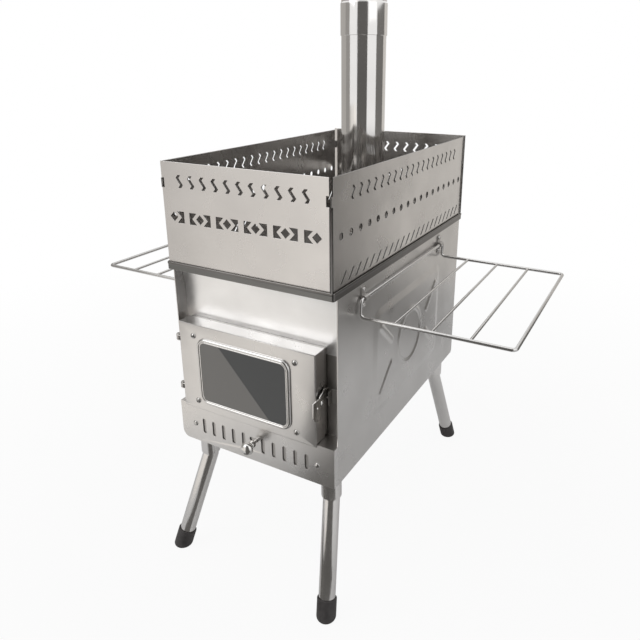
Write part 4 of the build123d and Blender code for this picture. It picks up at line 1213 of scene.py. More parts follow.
@dataclass
class Shell:
    """The firebox: side, rear and floor sheets, hood and front wall.

    Attributes:
        shop: What it is made with.
        press_half: Half the length and height of the pressed field, in millimetres.
        press_corner: Radius of the field's corners.
        press_setback: From the front of the panel to the middle of the field.
        press_drop: From the deck to the middle of the field.
        press_step: How far the field stands out.
        rib_inner: From the middle of the field to each slanted rib's inner end.
        rib_outer: From the middle of the field to its outer end.
        rib_half: Half the width of a rib.
        rib_step: How far the ribs and the ring stand out from the field.
        ring_radius: Radius of the middle of the ring.
        ring_half: Half the width of the ring.
        field_ramp: Width of the slope at the field's edge.
        ramp: Width of the slope at the edges of the ribs and the ring.
        grid: Spacing of the panel's mesh.
        corner: Radius of the panel's lower rear corner.
        sheet: Thickness of the panel.
    """

    shop: Workshop
    press_half: Flat = (108.0, 70.0)
    press_corner: float = 16.0
    press_setback: float = 192.0
    press_drop: float = 115.2
    press_step: float = 1.5
    rib_inner: Flat = (58.0, 16.5)
    rib_outer: Flat = (89.0, 45.0)
    rib_half: float = 5.0
    rib_step: float = 1.2
    ring_radius: float = 36.5
    ring_half: float = 3.5
    field_ramp: float = 9.0
    ramp: float = 2.4
    grid: float = 1.5
    corner: float = 5.0
    sheet: float = 1.0

    def build(self) -> None:
        """Builds the sheets of the firebox."""
        shop = self.shop
        finishes = shop.finishes
        for side in ("left", "right"):
            self.panel("side_panel_" + side)
        shop.soften(finishes.side, "stainless_satin", "stove_body", "rear_panel")
        hidden = ("bottom_pan", "front_wall", "latch_keeper", "hinge_loops")
        shop.soften(finishes.inner, "stainless_inner", "stove_body", *hidden)
        shop.soften(finishes.front, "stainless_brushed", "stove_body", "lower_front_panel")
        # The hood takes the lighter steel that paints light onto it.
        shop.soften(finishes.hood, "stainless_brushed", "stove_body", "front_hood")

    def panel(self, node: str) -> None:
        """Presses one side panel out of a fine flat grid.

        Args:
            node: The CAD node it stands for.
        """
        low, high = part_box(node)
        flat_x = high.x - (self.press_step + self.rib_step) * MM
        if low.x < 0:
            flat_x = -low.x - (self.press_step + self.rib_step) * MM
        centre = (0.0, low.y + self.press_setback * MM, high.z - self.press_drop * MM)
        piece = self.shop.press.grow(
            node + "_piece",
            self.flat_grid(node, flat_x, low, high),
            Centre=centre,
            Half_Size=(0.0, self.press_half[0] * MM, self.press_half[1] * MM),
            Corner=self.press_corner * MM,
            Step=self.press_step * MM,
            Rib_Inner_End=(0.0, self.rib_inner[0] * MM, self.rib_inner[1] * MM),
            Rib_Outer_End=(0.0, self.rib_outer[0] * MM, self.rib_outer[1] * MM),
            Rib_Half_Width=self.rib_half * MM,
            Ring_Radius=self.ring_radius * MM,
            Ring_Half_Width=self.ring_half * MM,
            Rib_Step=self.rib_step * MM,
            Ramp=self.ramp * MM,
            Field_Ramp=self.field_ramp * MM,
            Material=self.shop.finishes.side,
        )
        if low.x < 0:
            piece.data.transform(Matrix.Scale(-1.0, 4, (1.0, 0.0, 0.0)))
            piece.data.flip_normals()
        wall = piece.modifiers.new("sheet", "SOLIDIFY")
        wall.thickness = self.sheet * MM
        wall.offset = -1.0
        self.shop.settle(flattened(piece), "stove_body", "stainless_satin", node)

    def flat_grid(self, name: str, x: float, low: Vector, high: Vector) -> bpy.types.Mesh:
        """Returns a flat grid over the panel, with its lower rear corner rounded.

        Args:
            name: The mesh's name.
            x: Level of the sheet's outer face.
            low: Lower corner of the panel's box.
            high: Upper corner of the panel's box.

        Returns:
            The grid, facing +X.
        """
        columns = round((high.y - low.y) / (self.grid * MM))
        rows = round((high.z - low.z) / (self.grid * MM))
        reach = self.corner * MM
        points = []
        for j in range(rows + 1):
            for i in range(columns + 1):
                y = low.y + (high.y - low.y) * i / columns
                z = low.z + (high.z - low.z) * j / rows
                u = max(0.0, (y - high.y) / reach + 1.0)
                v = max(0.0, (low.z - z) / reach + 1.0)
                if u > 0.0 and v > 0.0:
                    shrink = max(u, v) / math.hypot(u, v)
                    y = high.y + (u * shrink - 1.0) * reach
                    z = low.z - (v * shrink - 1.0) * reach
                points.append((x, y, z))
        faces = []
        for j in range(rows):
            for i in range(columns):
                k = j * (columns + 1) + i
                faces.append((k, k + 1, k + columns + 2, k + columns + 1))
        return mesh_from(name, points, faces)


@dataclass
class Deck:
    """The cooking deck: a shallow tray whose rim is folded into a hem.

    Attributes:
        shop: What it is made with.
        section: The rim's section, as inset from the outside and height above the tray's underside.
        corner: Radius of the rim's upright corners.
        least_corner: The least radius that the rim's inner layers keep there.
        bore: Radius of the flue's hole.
        bore_steps: Points around the hole.
        painted_shade_depth: Depth of the front of the rim that is painted darker as shade.
        painted_shade_rise: Height up to which the painted shade reaches.
    """

    shop: Workshop
    section: tuple[Flat, ...] = (
        (0.95, 0.0), (0.6, 0.15), (0.45, 0.6), (0.45, 5.9), (0.3, 6.25), (0.05, 6.7), (0.0, 7.3), (0.0, 8.2),
        (0.2, 8.75), (0.5, 9.1), (0.9, 9.2), (1.3, 9.1), (1.65, 8.75), (1.8, 8.2), (1.8, 6.5), (1.6, 6.2),
        (1.35, 6.2), (1.35, 1.5), (1.5, 1.15), (1.85, 1.0),
    )
    corner: float = 3.0
    least_corner: float = 0.4
    bore: float = 27.94
    bore_steps: int = 64
    painted_shade_depth: float = 1.0
    painted_shade_rise: float = 6.6

    def build(self) -> None:
        """Builds the deck."""
        low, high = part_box("top_deck")
        shape = bmesh.new()
        rings = []
        for inset, rise in self.section:
            gap = inset * MM
            radius = max(self.least_corner, self.corner - inset) * MM
            loop = rounded_loop((low.x + gap, low.y + gap), (high.x - gap, high.y - gap), radius)
            rings.append([(x, y, low.z + rise * MM) for x, y in loop])
        made = bridged(shape, rings, closed=False)
        self.floor(shape, made[0], made[-1])
        mesh = finished_mesh("deck_rim", shape)
        # Painted shade: the deck takes a dark copy of the brushed steel, and the lower front band of its rim
        # a second dark copy.
        mesh.materials.append(self.shop.finishes.rim)
        mesh.materials.append(self.shop.finishes.rim_front_painted_shade)
        for face in mesh.polygons:
            face.use_smooth = not is_flat(face)
            outside = face.center.y < low.y + self.painted_shade_depth * MM and face.normal.y < -0.5
            if outside and face.center.z < low.z + self.painted_shade_rise * MM:
                face.material_index = 1
        self.shop.settle(new_object("deck_rim", mesh), "stove_body", "stainless_brushed", "top_deck")

    def floor(
        self,
        shape: bmesh.types.BMesh,
        under: Sequence[bmesh.types.BMVert],
        over: Sequence[bmesh.types.BMVert],
    ) -> None:
        """Fills both faces of the deck's floor, with the flue's hole through them.

        Args:
            shape: The deck so far.
            under: The rim's edge on the underside.
            over: The rim's edge on the upper side.
        """
        bore_low, bore_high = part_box("flue_collar")
        flue_y = (bore_low.y + bore_high.y) / 2
        bore = self.bore * MM
        count = self.bore_steps
        around = [2 * math.pi * i / count for i in range(count)]
        hole = []
        for ring in (under, over):
            z = ring[0].co.z
            edge = [shape.verts.new((bore * math.cos(a), flue_y + bore * math.sin(a), z)) for a in around]
            hole.append(edge)
            shape.verts.ensure_lookup_table()
            edges = [self.edge_of(shape, ring, i) for i in range(len(ring))]
            edges += [shape.edges.new((edge[i], edge[(i + 1) % count])) for i in range(count)]
            bmesh.ops.triangle_fill(shape, use_beauty=True, use_dissolve=False, edges=edges)
        for i in range(count):
            j = (i + 1) % count
            shape.faces.new((hole[0][i], hole[0][j], hole[1][j], hole[1][i]))

    @staticmethod
    def edge_of(
        shape: bmesh.types.BMesh, ring: Sequence[bmesh.types.BMVert], index: int
    ) -> bmesh.types.BMEdge:
        """Returns the edge of a ring that starts at the given corner."""
        return shape.edges.get((ring[index], ring[(index + 1) % len(ring)]))


@dataclass
class Windshield:
    """The four cut-out sheets that stand in the rim, and their thickness in millimetres."""

    shop: Workshop
    sheet: float = 1.5

    def build(self) -> None:
        """Builds the sheets."""
        finishes = self.shop.finishes
        right = Vector((1.0, 0.0, 0.0))
        rear = Vector((0.0, 1.0, 0.0))
        for node, way in (("shield_left", -right), ("shield_right", right), ("shield_rear", rear)):
            self.shop.roll(finishes.shield, "stainless_satin", "windshield", way, self.sheet, node)
        front = finishes.shield_front
        self.shop.roll(front, "stainless_brushed", "windshield", -rear, self.sheet, "shield_front")


@dataclass
class Door:
    """The hinged door with its window, screws, hinges, latch and rope seal.

    Attributes:
        shop: What it is made with.
        screw: A window screw.
        socket_radius: Radius of the socket in the head, at its mouth.
        socket_depth: Depth of the socket.
        socket_taper: How much narrower the socket is where its floor starts, and the floor's rise there.
        bead: The window frame's section, as inset from its outside and height above the door.
        bead_corner: Outer radius of the window frame's corners.
        fold: Radius of the skin's folded edges.
        seal_half: Half the width of the rope seal.
        seal_corner: Radius of the seal's corners.
        strand_radius: Radius of one strand of the rope.
        strand_pitch: Distance between strands.
    """

    shop: Workshop
    screw: Rivet = Rivet(3.6, 2.4, 2.0)
    socket_radius: float = 1.1
    socket_depth: float = 1.2
    socket_taper: Flat = (0.2, 0.1)
    bead: tuple[Flat, ...] = (
        (0.0, 0.0), (0.0, 0.9), (0.25, 1.7), (0.75, 2.5), (1.45, 3.1), (2.2, 3.4), (2.95, 3.3), (3.45, 2.95),
        (3.7, 2.6), (3.95, 2.6), (4.2, 2.85), (4.7, 2.95), (5.15, 2.8), (5.4, 2.45), (5.4, 2.2), (3.9, 2.2),
        (3.9, 0.0),
    )
    bead_corner: float = 12.4
    fold: float = 1.0
    seal_half: float = 3.0
    seal_corner: float = 5.0
    strand_radius: float = 0.5
    strand_pitch: float = 0.9

    def build(self) -> None:
        """Builds the door."""
        shop = self.shop
        finishes = shop.finishes
        self.shell()
        shop.soften(finishes.inner, "stainless_inner", "door", "door_pan", "window_backing")
        shop.soften(finishes.fixing, "stainless_inner", "door", "hinge_brackets")
        shop.soften(finishes.fixing, "fixings", "door", "hinge_pins", "door_nuts")
        shop.soften(finishes.mirror, "stainless_polished", "latch", "latch_lever")
        shop.soften(finishes.mirror, "stainless_polished", "door", "latch_pivot")
        shop.soften(finishes.glass, "dark_glass", "door", "window_glass")
        shop.soften(finishes.seal, "rope_seal", "door", "window_gasket")
        self.frame_bead()
        self.screws()
        self.seal()

    def shell(self) -> None:
        """Folds the outer skin, whose front edges are rolled round."""
        node = "door_shell"
        low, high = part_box(node)
        shape = merged(node)
        folds = [edge for edge in shape.edges if all(self.on_fold(end.co, low, high) for end in edge.verts)]
        rounding = {"offset": self.fold * MM, "segments": 3, "profile": 0.5, "affect": "EDGES"}
        bmesh.ops.bevel(shape, geom=folds, clamp_overlap=True, **rounding)
        piece = flattened(skinned(shape, node, "door_skin", self.shop.finishes.front))
        self.shop.settle(piece, "door", "stainless_brushed", node)

    @staticmethod
    def on_fold(end: Vector, low: Vector, high: Vector) -> bool:
        """Says whether a corner lies on the outline of the skin's front.

        Args:
            end: The corner's place.
            low: Lower corner of the skin's box.
            high: Upper corner of the skin's box.

        Returns:
            Whether it does.
        """
        close = 0.05 * MM
        at_front = abs(end.y - low.y) < close
        beside = min(abs(end.x - low.x), abs(end.x - high.x)) < close
        level = min(abs(end.z - low.z), abs(end.z - high.z)) < close
        return at_front and (beside or level)

    def frame_bead(self) -> None:
        """Builds the window's rounded frame."""
        low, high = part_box("window_bezel")
        shape = bmesh.new()
        rings = []
        for inset, rise in self.bead:
            gap = inset * MM
            radius = (self.bead_corner - inset) * MM
            loop = rounded_loop((low.x + gap, low.z + gap), (high.x - gap, high.z - gap), radius, steps=12)
            rings.append([(x, high.y - rise * MM, z) for x, z in loop])
        bridged(shape, rings, closed=True)
        mesh = finished_mesh("window_frame", shape)
        mesh.materials.append(self.shop.finishes.bezel)
        piece = new_object("window_frame", mesh)
        self.shop.settle(piece, "door", "stainless_polished", "window_bezel")

    def screws(self) -> None:
        """Builds the four window screws, each with a driven socket."""
        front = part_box("door_shell")[0].y
        depth = (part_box("door_screws")[1].y - front) / MM
        top = self.screw.height
        narrowing, rise = self.socket_taper
        profile = self.screw.profile(depth)[:-2]
        profile += [
            (self.socket_radius, top),
            (self.socket_radius - narrowing, top - self.socket_depth + rise),
            (0.0, top - self.socket_depth),
        ]
        places = spread_places("door_screws", self.screw.radius, front, Vector((0.0, -1.0, 0.0)))
        piece = self.shop.studs("window_screws", profile, places, self.shop.finishes.fixing)
        self.shop.settle(piece, "door", "fixings", "door_screws")

    def seal(self) -> None:
        """Lays the flat woven seal on the back of the door."""
        low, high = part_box("door_gasket")
        half = self.seal_half * MM
        middle = (low.y + high.y) / 2
        corner = self.seal_corner * MM
        path = rounded_loop((low.x + half, low.z + half), (high.x - half, high.z - half), corner)
        points = [Vector((x, middle, z)) for x, z in path]
        base = path_mesh("rope", [(points, True)])
        sizes = {"Radius": self.strand_radius * MM, "Pitch": self.strand_pitch * MM}
        piece = self.shop.rope.grow("door_rope", base, Material=self.shop.finishes.seal, **sizes)
        self.shop.settle(piece, "door", "rope_seal", "door_gasket")


@dataclass
class Damper:
    """The sliding air damper and its knob.

    Attributes:
        shop: What it is made with.
        knob: Radius and height of the knob above the front panel.
        rivet: A rivet beside the air slots.
    """

    shop: Workshop
    knob: tuple[Flat, ...] = (
        (0.0, -5.5), (2.0, -5.5), (2.0, 6.6), (3.6, 6.7), (4.3, 7.1), (4.4, 7.7), (4.4, 10.9), (4.1, 11.4),
        (3.4, 11.5), (2.1, 11.6), (2.1, 13.6), (2.6, 14.4), (3.9, 15.0), (5.8, 15.5), (7.2, 16.3),
        (7.75, 17.4), (7.8, 18.4), (7.5, 19.8), (6.7, 21.3), (5.4, 22.6), (3.7, 23.5), (1.9, 23.9),
        (0.0, 24.0),
    )
    rivet: Rivet = Rivet(3.5, 1.9, 1.6)

    def build(self) -> None:
        """Builds the damper."""
        shop = self.shop
        finishes = shop.finishes
        shop.soften(finishes.inner, "stainless_inner", "damper", "air_damper")
        shop.soften(finishes.fixing, "fixings", "damper", "damper_nut")
        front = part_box("lower_front_panel")[0].y
        low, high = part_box("damper_knob")
        place = Matrix.Translation(((low.x + high.x) / 2, front, (low.z + high.z) / 2))
        forward = Matrix.Rotation(math.pi / 2, 4, "X")
        knob = shop.turned("air_knob", self.knob, place @ forward, finishes.knob)
        shop.settle(knob, "damper", "fixings", "damper_knob")
        low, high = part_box("damper_rivets")
        middle = (low.z + high.z) / 2
        inset = self.rivet.radius * MM
        way = Vector((0.0, -1.0, 0.0))
        places = [(Vector((x, front, middle)), way) for x in (low.x + inset, high.x - inset)]
        profile = self.rivet.profile((high.y - front) / MM)
        rivets = shop.studs("air_rivets", profile, places, finishes.fixing)
        shop.settle(rivets, "stove_body", "fixings", "damper_rivets")


@dataclass
class Legs:
    """The four plug-in legs with their sockets and rubber feet.

    Attributes:
        shop: What it is made with.
        turns: How far each leg is turned outward in its socket, in degrees.
        splay: From the socket's axis to the middle of the foot, in millimetres.
        bend_below: From the socket's lower end down to the middle of the bend.
        bend_radius: Radius of the bend.
        tube_radius: Outside radius of the tube.
        foot_base: Thickness of the rubber under the tube's end.
        socket_radius: Outside radius of the socket.
        socket_gap: Running clearance between socket and tube.
        plate_radius: Radius of the socket's plate.
        plate_thickness: Its thickness.
        edge: Width of the plate's broken edges.
        lip: Width of the broken edge at the socket's mouth, inside and outside.
        weld: The weld under the plate, as reach from the socket and drop below the plate.
        rivet: A rivet of the plate.
        rivet_reach: Distance of each rivet from the socket's axis, along X and Y.
    """

    shop: Workshop
    turns: tuple[float, ...] = (40.0, 21.0, 30.0, 21.0)
    splay: float = 47.0
    bend_below: float = 3.0
    bend_radius: float = 14.0
    tube_radius: float = 10.0
    foot_base: float = 7.5
    socket_radius: float = 12.0
    socket_gap: float = 0.06
    plate_radius: float = 17.0
    plate_thickness: float = 2.5
    edge: float = 0.4
    lip: Flat = (0.3, 0.5)
    weld: tuple[Flat, ...] = ((0.0, 1.7), (0.6, 0.7), (1.6, 0.0))
    rivet: Rivet = Rivet(2.8, 1.9)
    rivet_reach: float = 12.8

    def build(self) -> None:
        """Builds the four corners."""
        shop = self.shop
        finishes = shop.finishes
        rivets = []
        down = Vector((0.0, 0.0, -1.0))
        step = self.rivet_reach * MM
        for (corner, side), turn in zip(CORNERS.items(), self.turns):
            low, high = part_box("leg_socket_" + corner)
            axis = (low + high) / 2
            self.tube(corner, Vector((axis.x, axis.y, 0.0)), low.z, side, turn)
            shop.soften(finishes.rubber, "rubber_black", "leg_" + corner + "_set", "foot_" + corner)
            self.socket(corner, low, high)
            level = high.z - self.plate_thickness * MM
            for dx in (-step, step):
                for dy in (-step, step):
                    rivets.append((Vector((axis.x + dx, axis.y + dy, level)), down))
        piece = shop.studs("socket_studs", self.rivet.profile(), rivets, finishes.fixing)
        shop.settle(piece, "stove_body", "fixings", "socket_rivets")

    def tube(self, corner: str, axis: Vector, socket_end: float, side: tuple[int, int], turn: float) -> None:
        """Bends one leg tube.

        Args:
            corner: The corner's name.
            axis: Where the socket's axis meets the floor.
            socket_end: Level of the socket's lower end.
            side: Signs of X and Y at this corner.
            turn: Turn of the leg outward from the front or rear, in degrees.
        """
        angle = math.radians(turn)
        foot = axis + Vector((side[0] * math.sin(angle), side[1] * math.cos(angle), 0.0)) * self.splay * MM
        bend = axis + Vector((0.0, 0.0, socket_end - self.bend_below * MM))
        end = foot + (bend - foot).normalized() * self.foot_base * MM
        corners = [axis + Vector((0.0, 0.0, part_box("leg_" + corner)[1].z)), bend, end]
        path = rounded_path(corners, self.bend_radius * MM, 8)
        material = self.shop.finishes.tube
        piece = self.shop.rods("leg_tube_" + corner, [(path, False)], self.tube_radius, material)
        self.shop.settle(piece, "leg_" + corner + "_set", "stainless_tube", "leg_" + corner)

    def socket(self, corner: str, low: Vector, high: Vector) -> None:
        """Turns one socket tube with its plate.

        Args:
            corner: The corner's name.
            low: Lower corner of the socket's box.
            high: Upper corner of the socket's box.
        """
        drop = (high.z - low.z) / MM
        outer = self.socket_radius
        inner = self.tube_radius + self.socket_gap
        plate = self.plate_radius
        under = -self.plate_thickness
        edge = self.edge
        within, without = self.lip
        mouth = [(inner, within - drop), (inner + within, -drop)]
        mouth += [(outer - without, -drop), (outer, without - drop)]
        weld = [(outer + reach, under - fall) for reach, fall in self.weld]
        rim = [(plate - edge, under), (plate, under + edge), (plate, -edge), (plate - edge, 0.0)]
        profile = [*mouth, *weld, *rim, (inner, 0.0), mouth[0]]
        place = Matrix.Translation(((low.x + high.x) / 2, (low.y + high.y) / 2, high.z))
        piece = self.shop.turned("socket_" + corner, profile, place, self.shop.finishes.tube)
        self.shop.settle(piece, "stove_body", "stainless_tube", "leg_socket_" + corner)


@dataclass
class Shelves:
    """The two folding wire shelves and their clips.

    Attributes:
        shop: What it is made with.
        wire: Radius of the frame's wire, in millimetres.
        bar: Radius of the cross wires.
        bend: Bend radius of the frame.
        bars: Distance of each cross wire from the side panel.
        half_width: From the middle of the stove to the side panel.
        hinge: From the side panel to the hinge.
        stop: From the side panel to the frame's knee.
        clip: Thickness of a clip.
        rivet: A rivet of the clips.
    """

    shop: Workshop
    wire: float = 2.0
    bar: float = 1.6
    bend: float = 5.0
    bars: tuple[float, ...] = (42.0, 83.5, 125.0)
    half_width: float = 110.0
    hinge: float = 3.5
    stop: float = 2.4
    clip: float = 1.2
    rivet: Rivet = Rivet(2.6, 1.9)

    def build(self) -> None:
        """Builds both shelves."""
        shop = self.shop
        finishes = shop.finishes
        for side, sign in (("left", -1), ("right", 1)):
            self.frame(side, sign)
            shop.soften(finishes.inner, "stainless_inner", "stove_body", "shelf_clips_" + side)
            node = "clip_rivets_" + side
            face = sign * (self.half_width + self.clip) * MM
            places = spread_places(node, self.rivet.radius, face, Vector((sign, 0.0, 0.0)))
            piece = shop.studs("clip_studs_" + side, self.rivet.profile(), places, finishes.fixing)
            shop.settle(piece, "stove_body", "fixings", node)

    def frame(self, side: str, sign: int) -> None:
        """Bends one shelf's frame and lays its cross wires.

        Args:
            side: The shelf's side.
            sign: The sign of X on that side.
        """
        low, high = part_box("shelf_" + side)
        y0 = low.y + self.wire * MM
        y1 = high.y - self.wire * MM
        z0 = low.z + self.wire * MM
        z1 = high.z - self.wire * MM
        far = max(abs(low.x), abs(high.x)) - self.wire * MM
        hinge = (self.half_width + self.hinge) * MM
        knee = (self.half_width + self.stop) * MM
        outline = [
            (hinge, y0, z1), (knee, y0, z0), (far, y0, z0), (far, y1, z0), (knee, y1, z0), (hinge, y1, z1)
        ]
        corners = [Vector((sign * x, y, z)) for x, y, z in outline]
        path = rounded_path(corners, self.bend * MM, 8, closed=True)
        piece = self.shop.rods("shelf_frame_" + side, [(path, True)], self.wire, self.shop.finishes.wire)
        runs = []
        for bar in self.bars:
            x = sign * (self.half_width + bar) * MM
            runs.append(([Vector((x, y0, z0)), Vector((x, y1, z0))], False))
        bars = self.shop.rods("shelf_bars_" + side, runs, self.bar, self.shop.finishes.wire)
        body = side + "_shelf"
        self.shop.settle(piece, body, "wire", "shelf_" + side)
        self.shop.settle(bars, body, "wire")


@dataclass
class Flue:
    """The collar, the two flue sections and the fire grate.

    Attributes:
        shop: What it is made with.
        radius: Outside radius of the pipe.
        wall: Thickness of the pipe.
        bell: Outside radius of the bell.
        bell_length: Length of the bell.
        shoulder: Half the length of the bell's shoulder.
        sides: Steps around the pipe.
        rivet: A rivet of the collar.
        rivet_count: Number of rivets.
        rivet_circle: Radius of the circle they stand on.
        flange: Thickness of the collar's flange.
        edge: Width of the pipes' broken edges.
    """

    shop: Workshop
    radius: float = 30.0
    wall: float = 1.0
    bell: float = 31.06
    bell_length: float = 40.0
    shoulder: float = 1.2
    sides: int = 128
    rivet: Rivet = Rivet(2.8, 1.52)
    rivet_count: int = 6
    rivet_circle: float = 37.0
    flange: float = 1.2
    edge: float = 0.3

    def build(self) -> None:
        """Builds the flue."""
        shop = self.shop
        finishes = shop.finishes
        low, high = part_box("flue_lower")
        middle = (low + high) / 2
        axis = Vector((middle.x, middle.y, 0.0))
        for part, section in (("lower", self.straight), ("upper", self.belled)):
            low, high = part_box("flue_" + part)
            place = Matrix.Translation(axis + Vector((0.0, 0.0, low.z)))
            profile = section((high.z - low.z) / MM)
            piece = shop.turned(part + "_pipe", profile, place, finishes.pipe, self.sides)
            shop.settle(piece, part + "_flue", "stainless_polished", "flue_" + part)
        shop.soften(finishes.mirror, "stainless_polished", "stove_body", "flue_collar")
        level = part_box("flue_collar")[0].z + self.flange * MM
        places = []
        for i in range(self.rivet_count):
            angle = 2 * math.pi * i / self.rivet_count
            out = Vector((math.cos(angle), math.sin(angle), 0.0)) * self.rivet_circle * MM
            places.append((axis + out + Vector((0.0, 0.0, level)), Vector((0.0, 0.0, 1.0))))
        rivets = shop.studs("collar_studs", self.rivet.profile(), places, finishes.fixing)
        shop.settle(rivets, "stove_body", "fixings", "collar_rivets")
        shop.soften(finishes.grate, "grate_steel", "grate", "fire_grate")

    def straight(self, length: float) -> list[Flat]:
        """Returns the section of a plain pipe with rounded ends."""
        inner = self.radius - self.wall
        lower = self.lower_end(inner, self.radius)
        return [*lower, *self.upper_end(length), lower[0]]

    def belled(self, length: float) -> list[Flat]:
        """Returns the section of a pipe whose lower end is opened out into a bell.

        Args:
            length: The pipe's length in millimetres.

        Returns:
            Radius and height of each point.
        """
        inner = self.radius - self.wall
        socket = self.bell - self.wall
        neck = self.bell - self.radius
        start = self.bell_length - self.shoulder
        levels = [start + 2 * self.shoulder * k / 6 for k in range(7)]
        outside = []
        for z in levels:
            share = (z - levels[0]) / (levels[-1] - levels[0])
            blend = share * share * (3 - 2 * share)
            outside.append((self.bell - neck * blend, z))
        inside = [(inner, self.bell_length), (socket, self.bell_length - neck / 2)]
        lower = self.lower_end(socket, self.bell)
        return [*lower, *outside, *self.upper_end(length), *inside, lower[0]]

    def lower_end(self, inner: float, outer: float) -> list[Flat]:
        """Returns the rounded lower end of a pipe's wall, from inside to outside."""
        edge = self.edge
        return [(inner, edge), (inner + edge, 0.0), (outer - edge, 0.0), (outer, edge)]

    def upper_end(self, length: float) -> list[Flat]:
        """Returns the rounded upper end of a pipe's wall, from outside to inside."""
        edge = self.edge
        below = length - edge
        inner = self.radius - self.wall
        outer = self.radius
        return [(outer, below), (outer - edge, length), (inner + edge, length), (inner, below)]


# Studio


@dataclass
class Studio:
    """Floor, reflection cards, lamps, world and camera.

    Attributes:
        eye: Where the camera stands, in metres.
        back: From the object towards the camera.
        roll: Turn of the camera about its own axis, in degrees.
        lens: Focal length on a 36 mm wide sensor.
        shift: Sideways and upright shift of the picture.
        floor_radius: Radius of the floor in metres.
        card_distance: Distance of the reflection cards from the stove.
        cards: First and last azimuth in degrees from the front to the right, height and grey level of each.
        card_tint: Colour of every card.
        floor_cards: Azimuths, inner and outer radius and level of each card on the floor.
        shown: How white the camera sees the floor under the stove.
        mirrored_near: How white reflections see the floor under the stove, kept low there as a painted
            shadow.
        mirrored_far: How white they see it further off.
        world_light: Strength of the world as a light.
        shown_over: Distances from the stove between which the floor turns white for the camera.
        mirrored_over: Distances between which its reflection turns from near to far.
        arc_steps: Number of faces in a card.
        lamps: Name, place, width and power of each lamp.
        aim: What the lamps point at.
    """

    eye: Point = (0.3860, -0.6755, 0.6157)
    back: Point = (0.4526, -0.8350, 0.3135)
    roll: float = 0.11
    lens: float = 33.84
    shift: tuple[float, float] = (-0.0420, -0.0873)
    floor_radius: float = 5.0
    card_distance: float = 1.05
    card_tint: Colour = (1.0, 0.965, 0.92)
    cards: tuple[tuple[float, float, float, float], ...] = (
        (-6.0, 48.0, 2.4, 0.13),
        (97.0, 145.0, 0.9, 0.19),
        (145.0, 182.0, 0.9, 0.66),
        (-150.0, -78.0, 1.0, 0.46),
        (-78.0, -50.0, 1.0, 0.34),
        (-50.0, -40.0, 0.5, 0.66),
        (-40.0, -24.0, 0.5, 0.86),
        (-24.0, -9.0, 0.5, 1.0),
    )
    floor_cards: tuple[tuple[float, float, float, float, float], ...] = (
        (-9.0, 51.0, 0.34, 1.05, 0.12),
        (-26.0, 20.0, 0.235, 0.34, 0.14),
        (105.0, 154.0, 0.66, 1.05, 0.12),
        (-58.0, -9.0, 0.5, 1.05, 0.92),
    )
    shown: float = 0.93
    mirrored_near: float = 0.12
    mirrored_far: float = 0.36
    world_light: float = 0.36
    shown_over: Flat = (0.35, 1.3)
    mirrored_over: Flat = (0.22, 0.8)
    arc_steps: int = 24
    lamps: tuple[tuple[str, Point, float, float], ...] = (
        ("key", (-1.3, -1.6, 2.0), 1.6, 11.0),
        ("fill", (1.9, -0.6, 1.7), 1.6, 3.0),
        ("top", (0.0, 0.3, 2.8), 1.8, 4.0),
    )
    aim: Point = (0.0, 0.0, 0.35)

    def build(self) -> None:
        """Builds the studio."""
        self.floor()
        for first, last, height, level in self.cards:
            low = self.arc(first, last, self.card_distance, 0.0)
            self.card(low, self.arc(first, last, self.card_distance, height), level)
        for first, last, near, far, level in self.floor_cards:
            self.card(self.arc(first, last, near, 0.001), self.arc(first, last, far, 0.001), level)
        self.hang()
        self.world()
        self.camera()

    def floor(self) -> None:
        """Lays a plain pale floor that keeps the shadow."""
        edge = [2 * math.pi * i / 96 for i in range(96)]
        points = [(self.floor_radius * math.cos(a), self.floor_radius * math.sin(a), 0.0) for a in edge]
        floor = new_object("floor", mesh_from("floor", points, [range(96)]))
        sheet = ShaderSheet("floor_paper")
        tone = sheet.tint(sheet.noise((3.0, 3.0, 3.0)), (0.93, 0.93, 0.93), (0.96, 0.96, 0.96))
        matte = sheet.add("ShaderNodeBsdfDiffuse", Color=tone)
        glow = sheet.add("ShaderNodeEmission", Color=WHITE, Strength=1.0)
        mix = sheet.add("ShaderNodeMixShader", Fac=self.glow_share(sheet))
        sheet.tree.links.new(matte.outputs[0], mix.inputs[1])
        sheet.tree.links.new(glow.outputs[0], mix.inputs[2])
        floor.data.materials.append(sheet.close(mix.outputs[0]))

    def glow_share(self, sheet: ShaderSheet) -> bpy.types.NodeSocket:
        """Returns how white the floor is shown to the camera and to mirror-like rays.

        Args:
            sheet: The floor's material.

        Returns:
            The share of white, zero for all other rays.
        """
        away = sheet.length(sheet.place())
        shown = sheet.spread(away, self.shown, 1.0, *self.shown_over)
        # Painted shadow: reflections see the floor darker close under the stove.
        mirrored = sheet.spread(away, self.mirrored_near, self.mirrored_far, *self.mirrored_over)
        return sheet.reflected(shown, mirrored)

    def arc(self, first: float, last: float, radius: float, level: float) -> list[Point]:
        """Returns points along an arc about the stove.

        Args:
            first: Azimuth where the arc starts, in degrees from the front towards the right.
            last: Azimuth where it ends.
            radius: Its radius in metres.
            level: Its height.

        Returns:
            The points, in metres.
        """
        steps = self.arc_steps
        angles = [math.radians(first + (last - first) * i / steps) for i in range(steps + 1)]
        return [(radius * math.sin(a), -radius * math.cos(a), level) for a in angles]

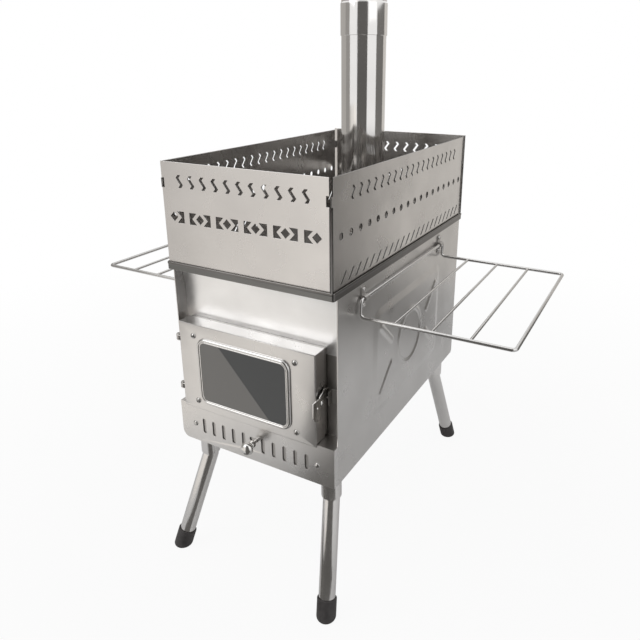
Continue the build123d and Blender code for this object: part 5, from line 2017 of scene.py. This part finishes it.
    def card(self, low: Sequence[Point], high: Sequence[Point], level: float) -> None:
        """Stands a curved grey card that only reflections see.

        Args:
            low: Points along its lower edge.
            high: Points along its upper edge.
            level: How bright the card is.
        """
        count = len(low)
        faces = [(i, i + 1, count + i + 1, count + i) for i in range(count - 1)]
        card = new_object("grey_card", mesh_from("grey_card", [*low, *high], faces))
        sheet = ShaderSheet("card_grey")
        glow = sheet.add("ShaderNodeEmission", Color=(*self.card_tint, 1.0), Strength=level)
        card.data.materials.append(sheet.close(glow.outputs[0]))
        card.visible_camera = False
        card.visible_diffuse = False
        card.visible_shadow = False
        card.visible_transmission = False

    def hang(self) -> None:
        """Hangs the soft lamps."""
        for name, place, size, power in self.lamps:
            light = bpy.data.lights.new(name, "AREA")
            light.size = size
            light.energy = power
            lamp = bpy.data.objects.new(name, light)
            lamp.location = place
            aim = Vector(self.aim) - Vector(place)
            lamp.rotation_euler = aim.to_track_quat("-Z", "Y").to_euler()
            bpy.context.collection.objects.link(lamp)

    def world(self) -> None:
        """Sets a white world that lights the stove softly."""
        world = bpy.data.worlds.new("studio")
        bpy.context.scene.world = world
        world.use_nodes = True
        world.node_tree.nodes.clear()
        graph = Graph(world.node_tree)
        seen = graph.reflected(1.0, 1.0)
        level = graph.add("ShaderNodeMapRange", Value=seen, To_Min=self.world_light, To_Max=1.0)
        shade = graph.add("ShaderNodeBackground", Color=WHITE, Strength=level.outputs[0])
        graph.add("ShaderNodeOutputWorld", Surface=shade.outputs[0])

    def camera(self) -> None:
        """Sets the camera at the photograph's viewpoint."""
        lens = bpy.data.cameras.new("camera")
        lens.sensor_width = 36.0
        lens.lens = self.lens
        lens.shift_x, lens.shift_y = self.shift
        lens.clip_start = 0.01
        seen = bpy.data.objects.new("camera", lens)
        back = Vector(self.back).normalized()
        right = Vector((0.0, 0.0, 1.0)).cross(back).normalized()
        up = back.cross(right)
        turn = Matrix((right, up, back)).transposed()
        roll = Matrix.Rotation(math.radians(self.roll), 3, "Z")
        seen.matrix_world = Matrix.Translation(self.eye) @ (turn @ roll).to_4x4()
        bpy.context.collection.objects.link(seen)
        bpy.context.scene.camera = seen


def main() -> None:
    """Builds the dressed stove and its studio."""
    logging.basicConfig(level=logging.INFO, format="%(message)s")
    shop = Workshop()
    for assembly in (Shell, Deck, Windshield, Door, Damper, Legs, Shelves, Flue):
        assembly(shop).build()
        LOG.info("built %s", assembly.__name__)
    Studio().build()
    bpy.context.scene.view_settings.view_transform = "Standard"


if __name__ == "__main__":
    main()
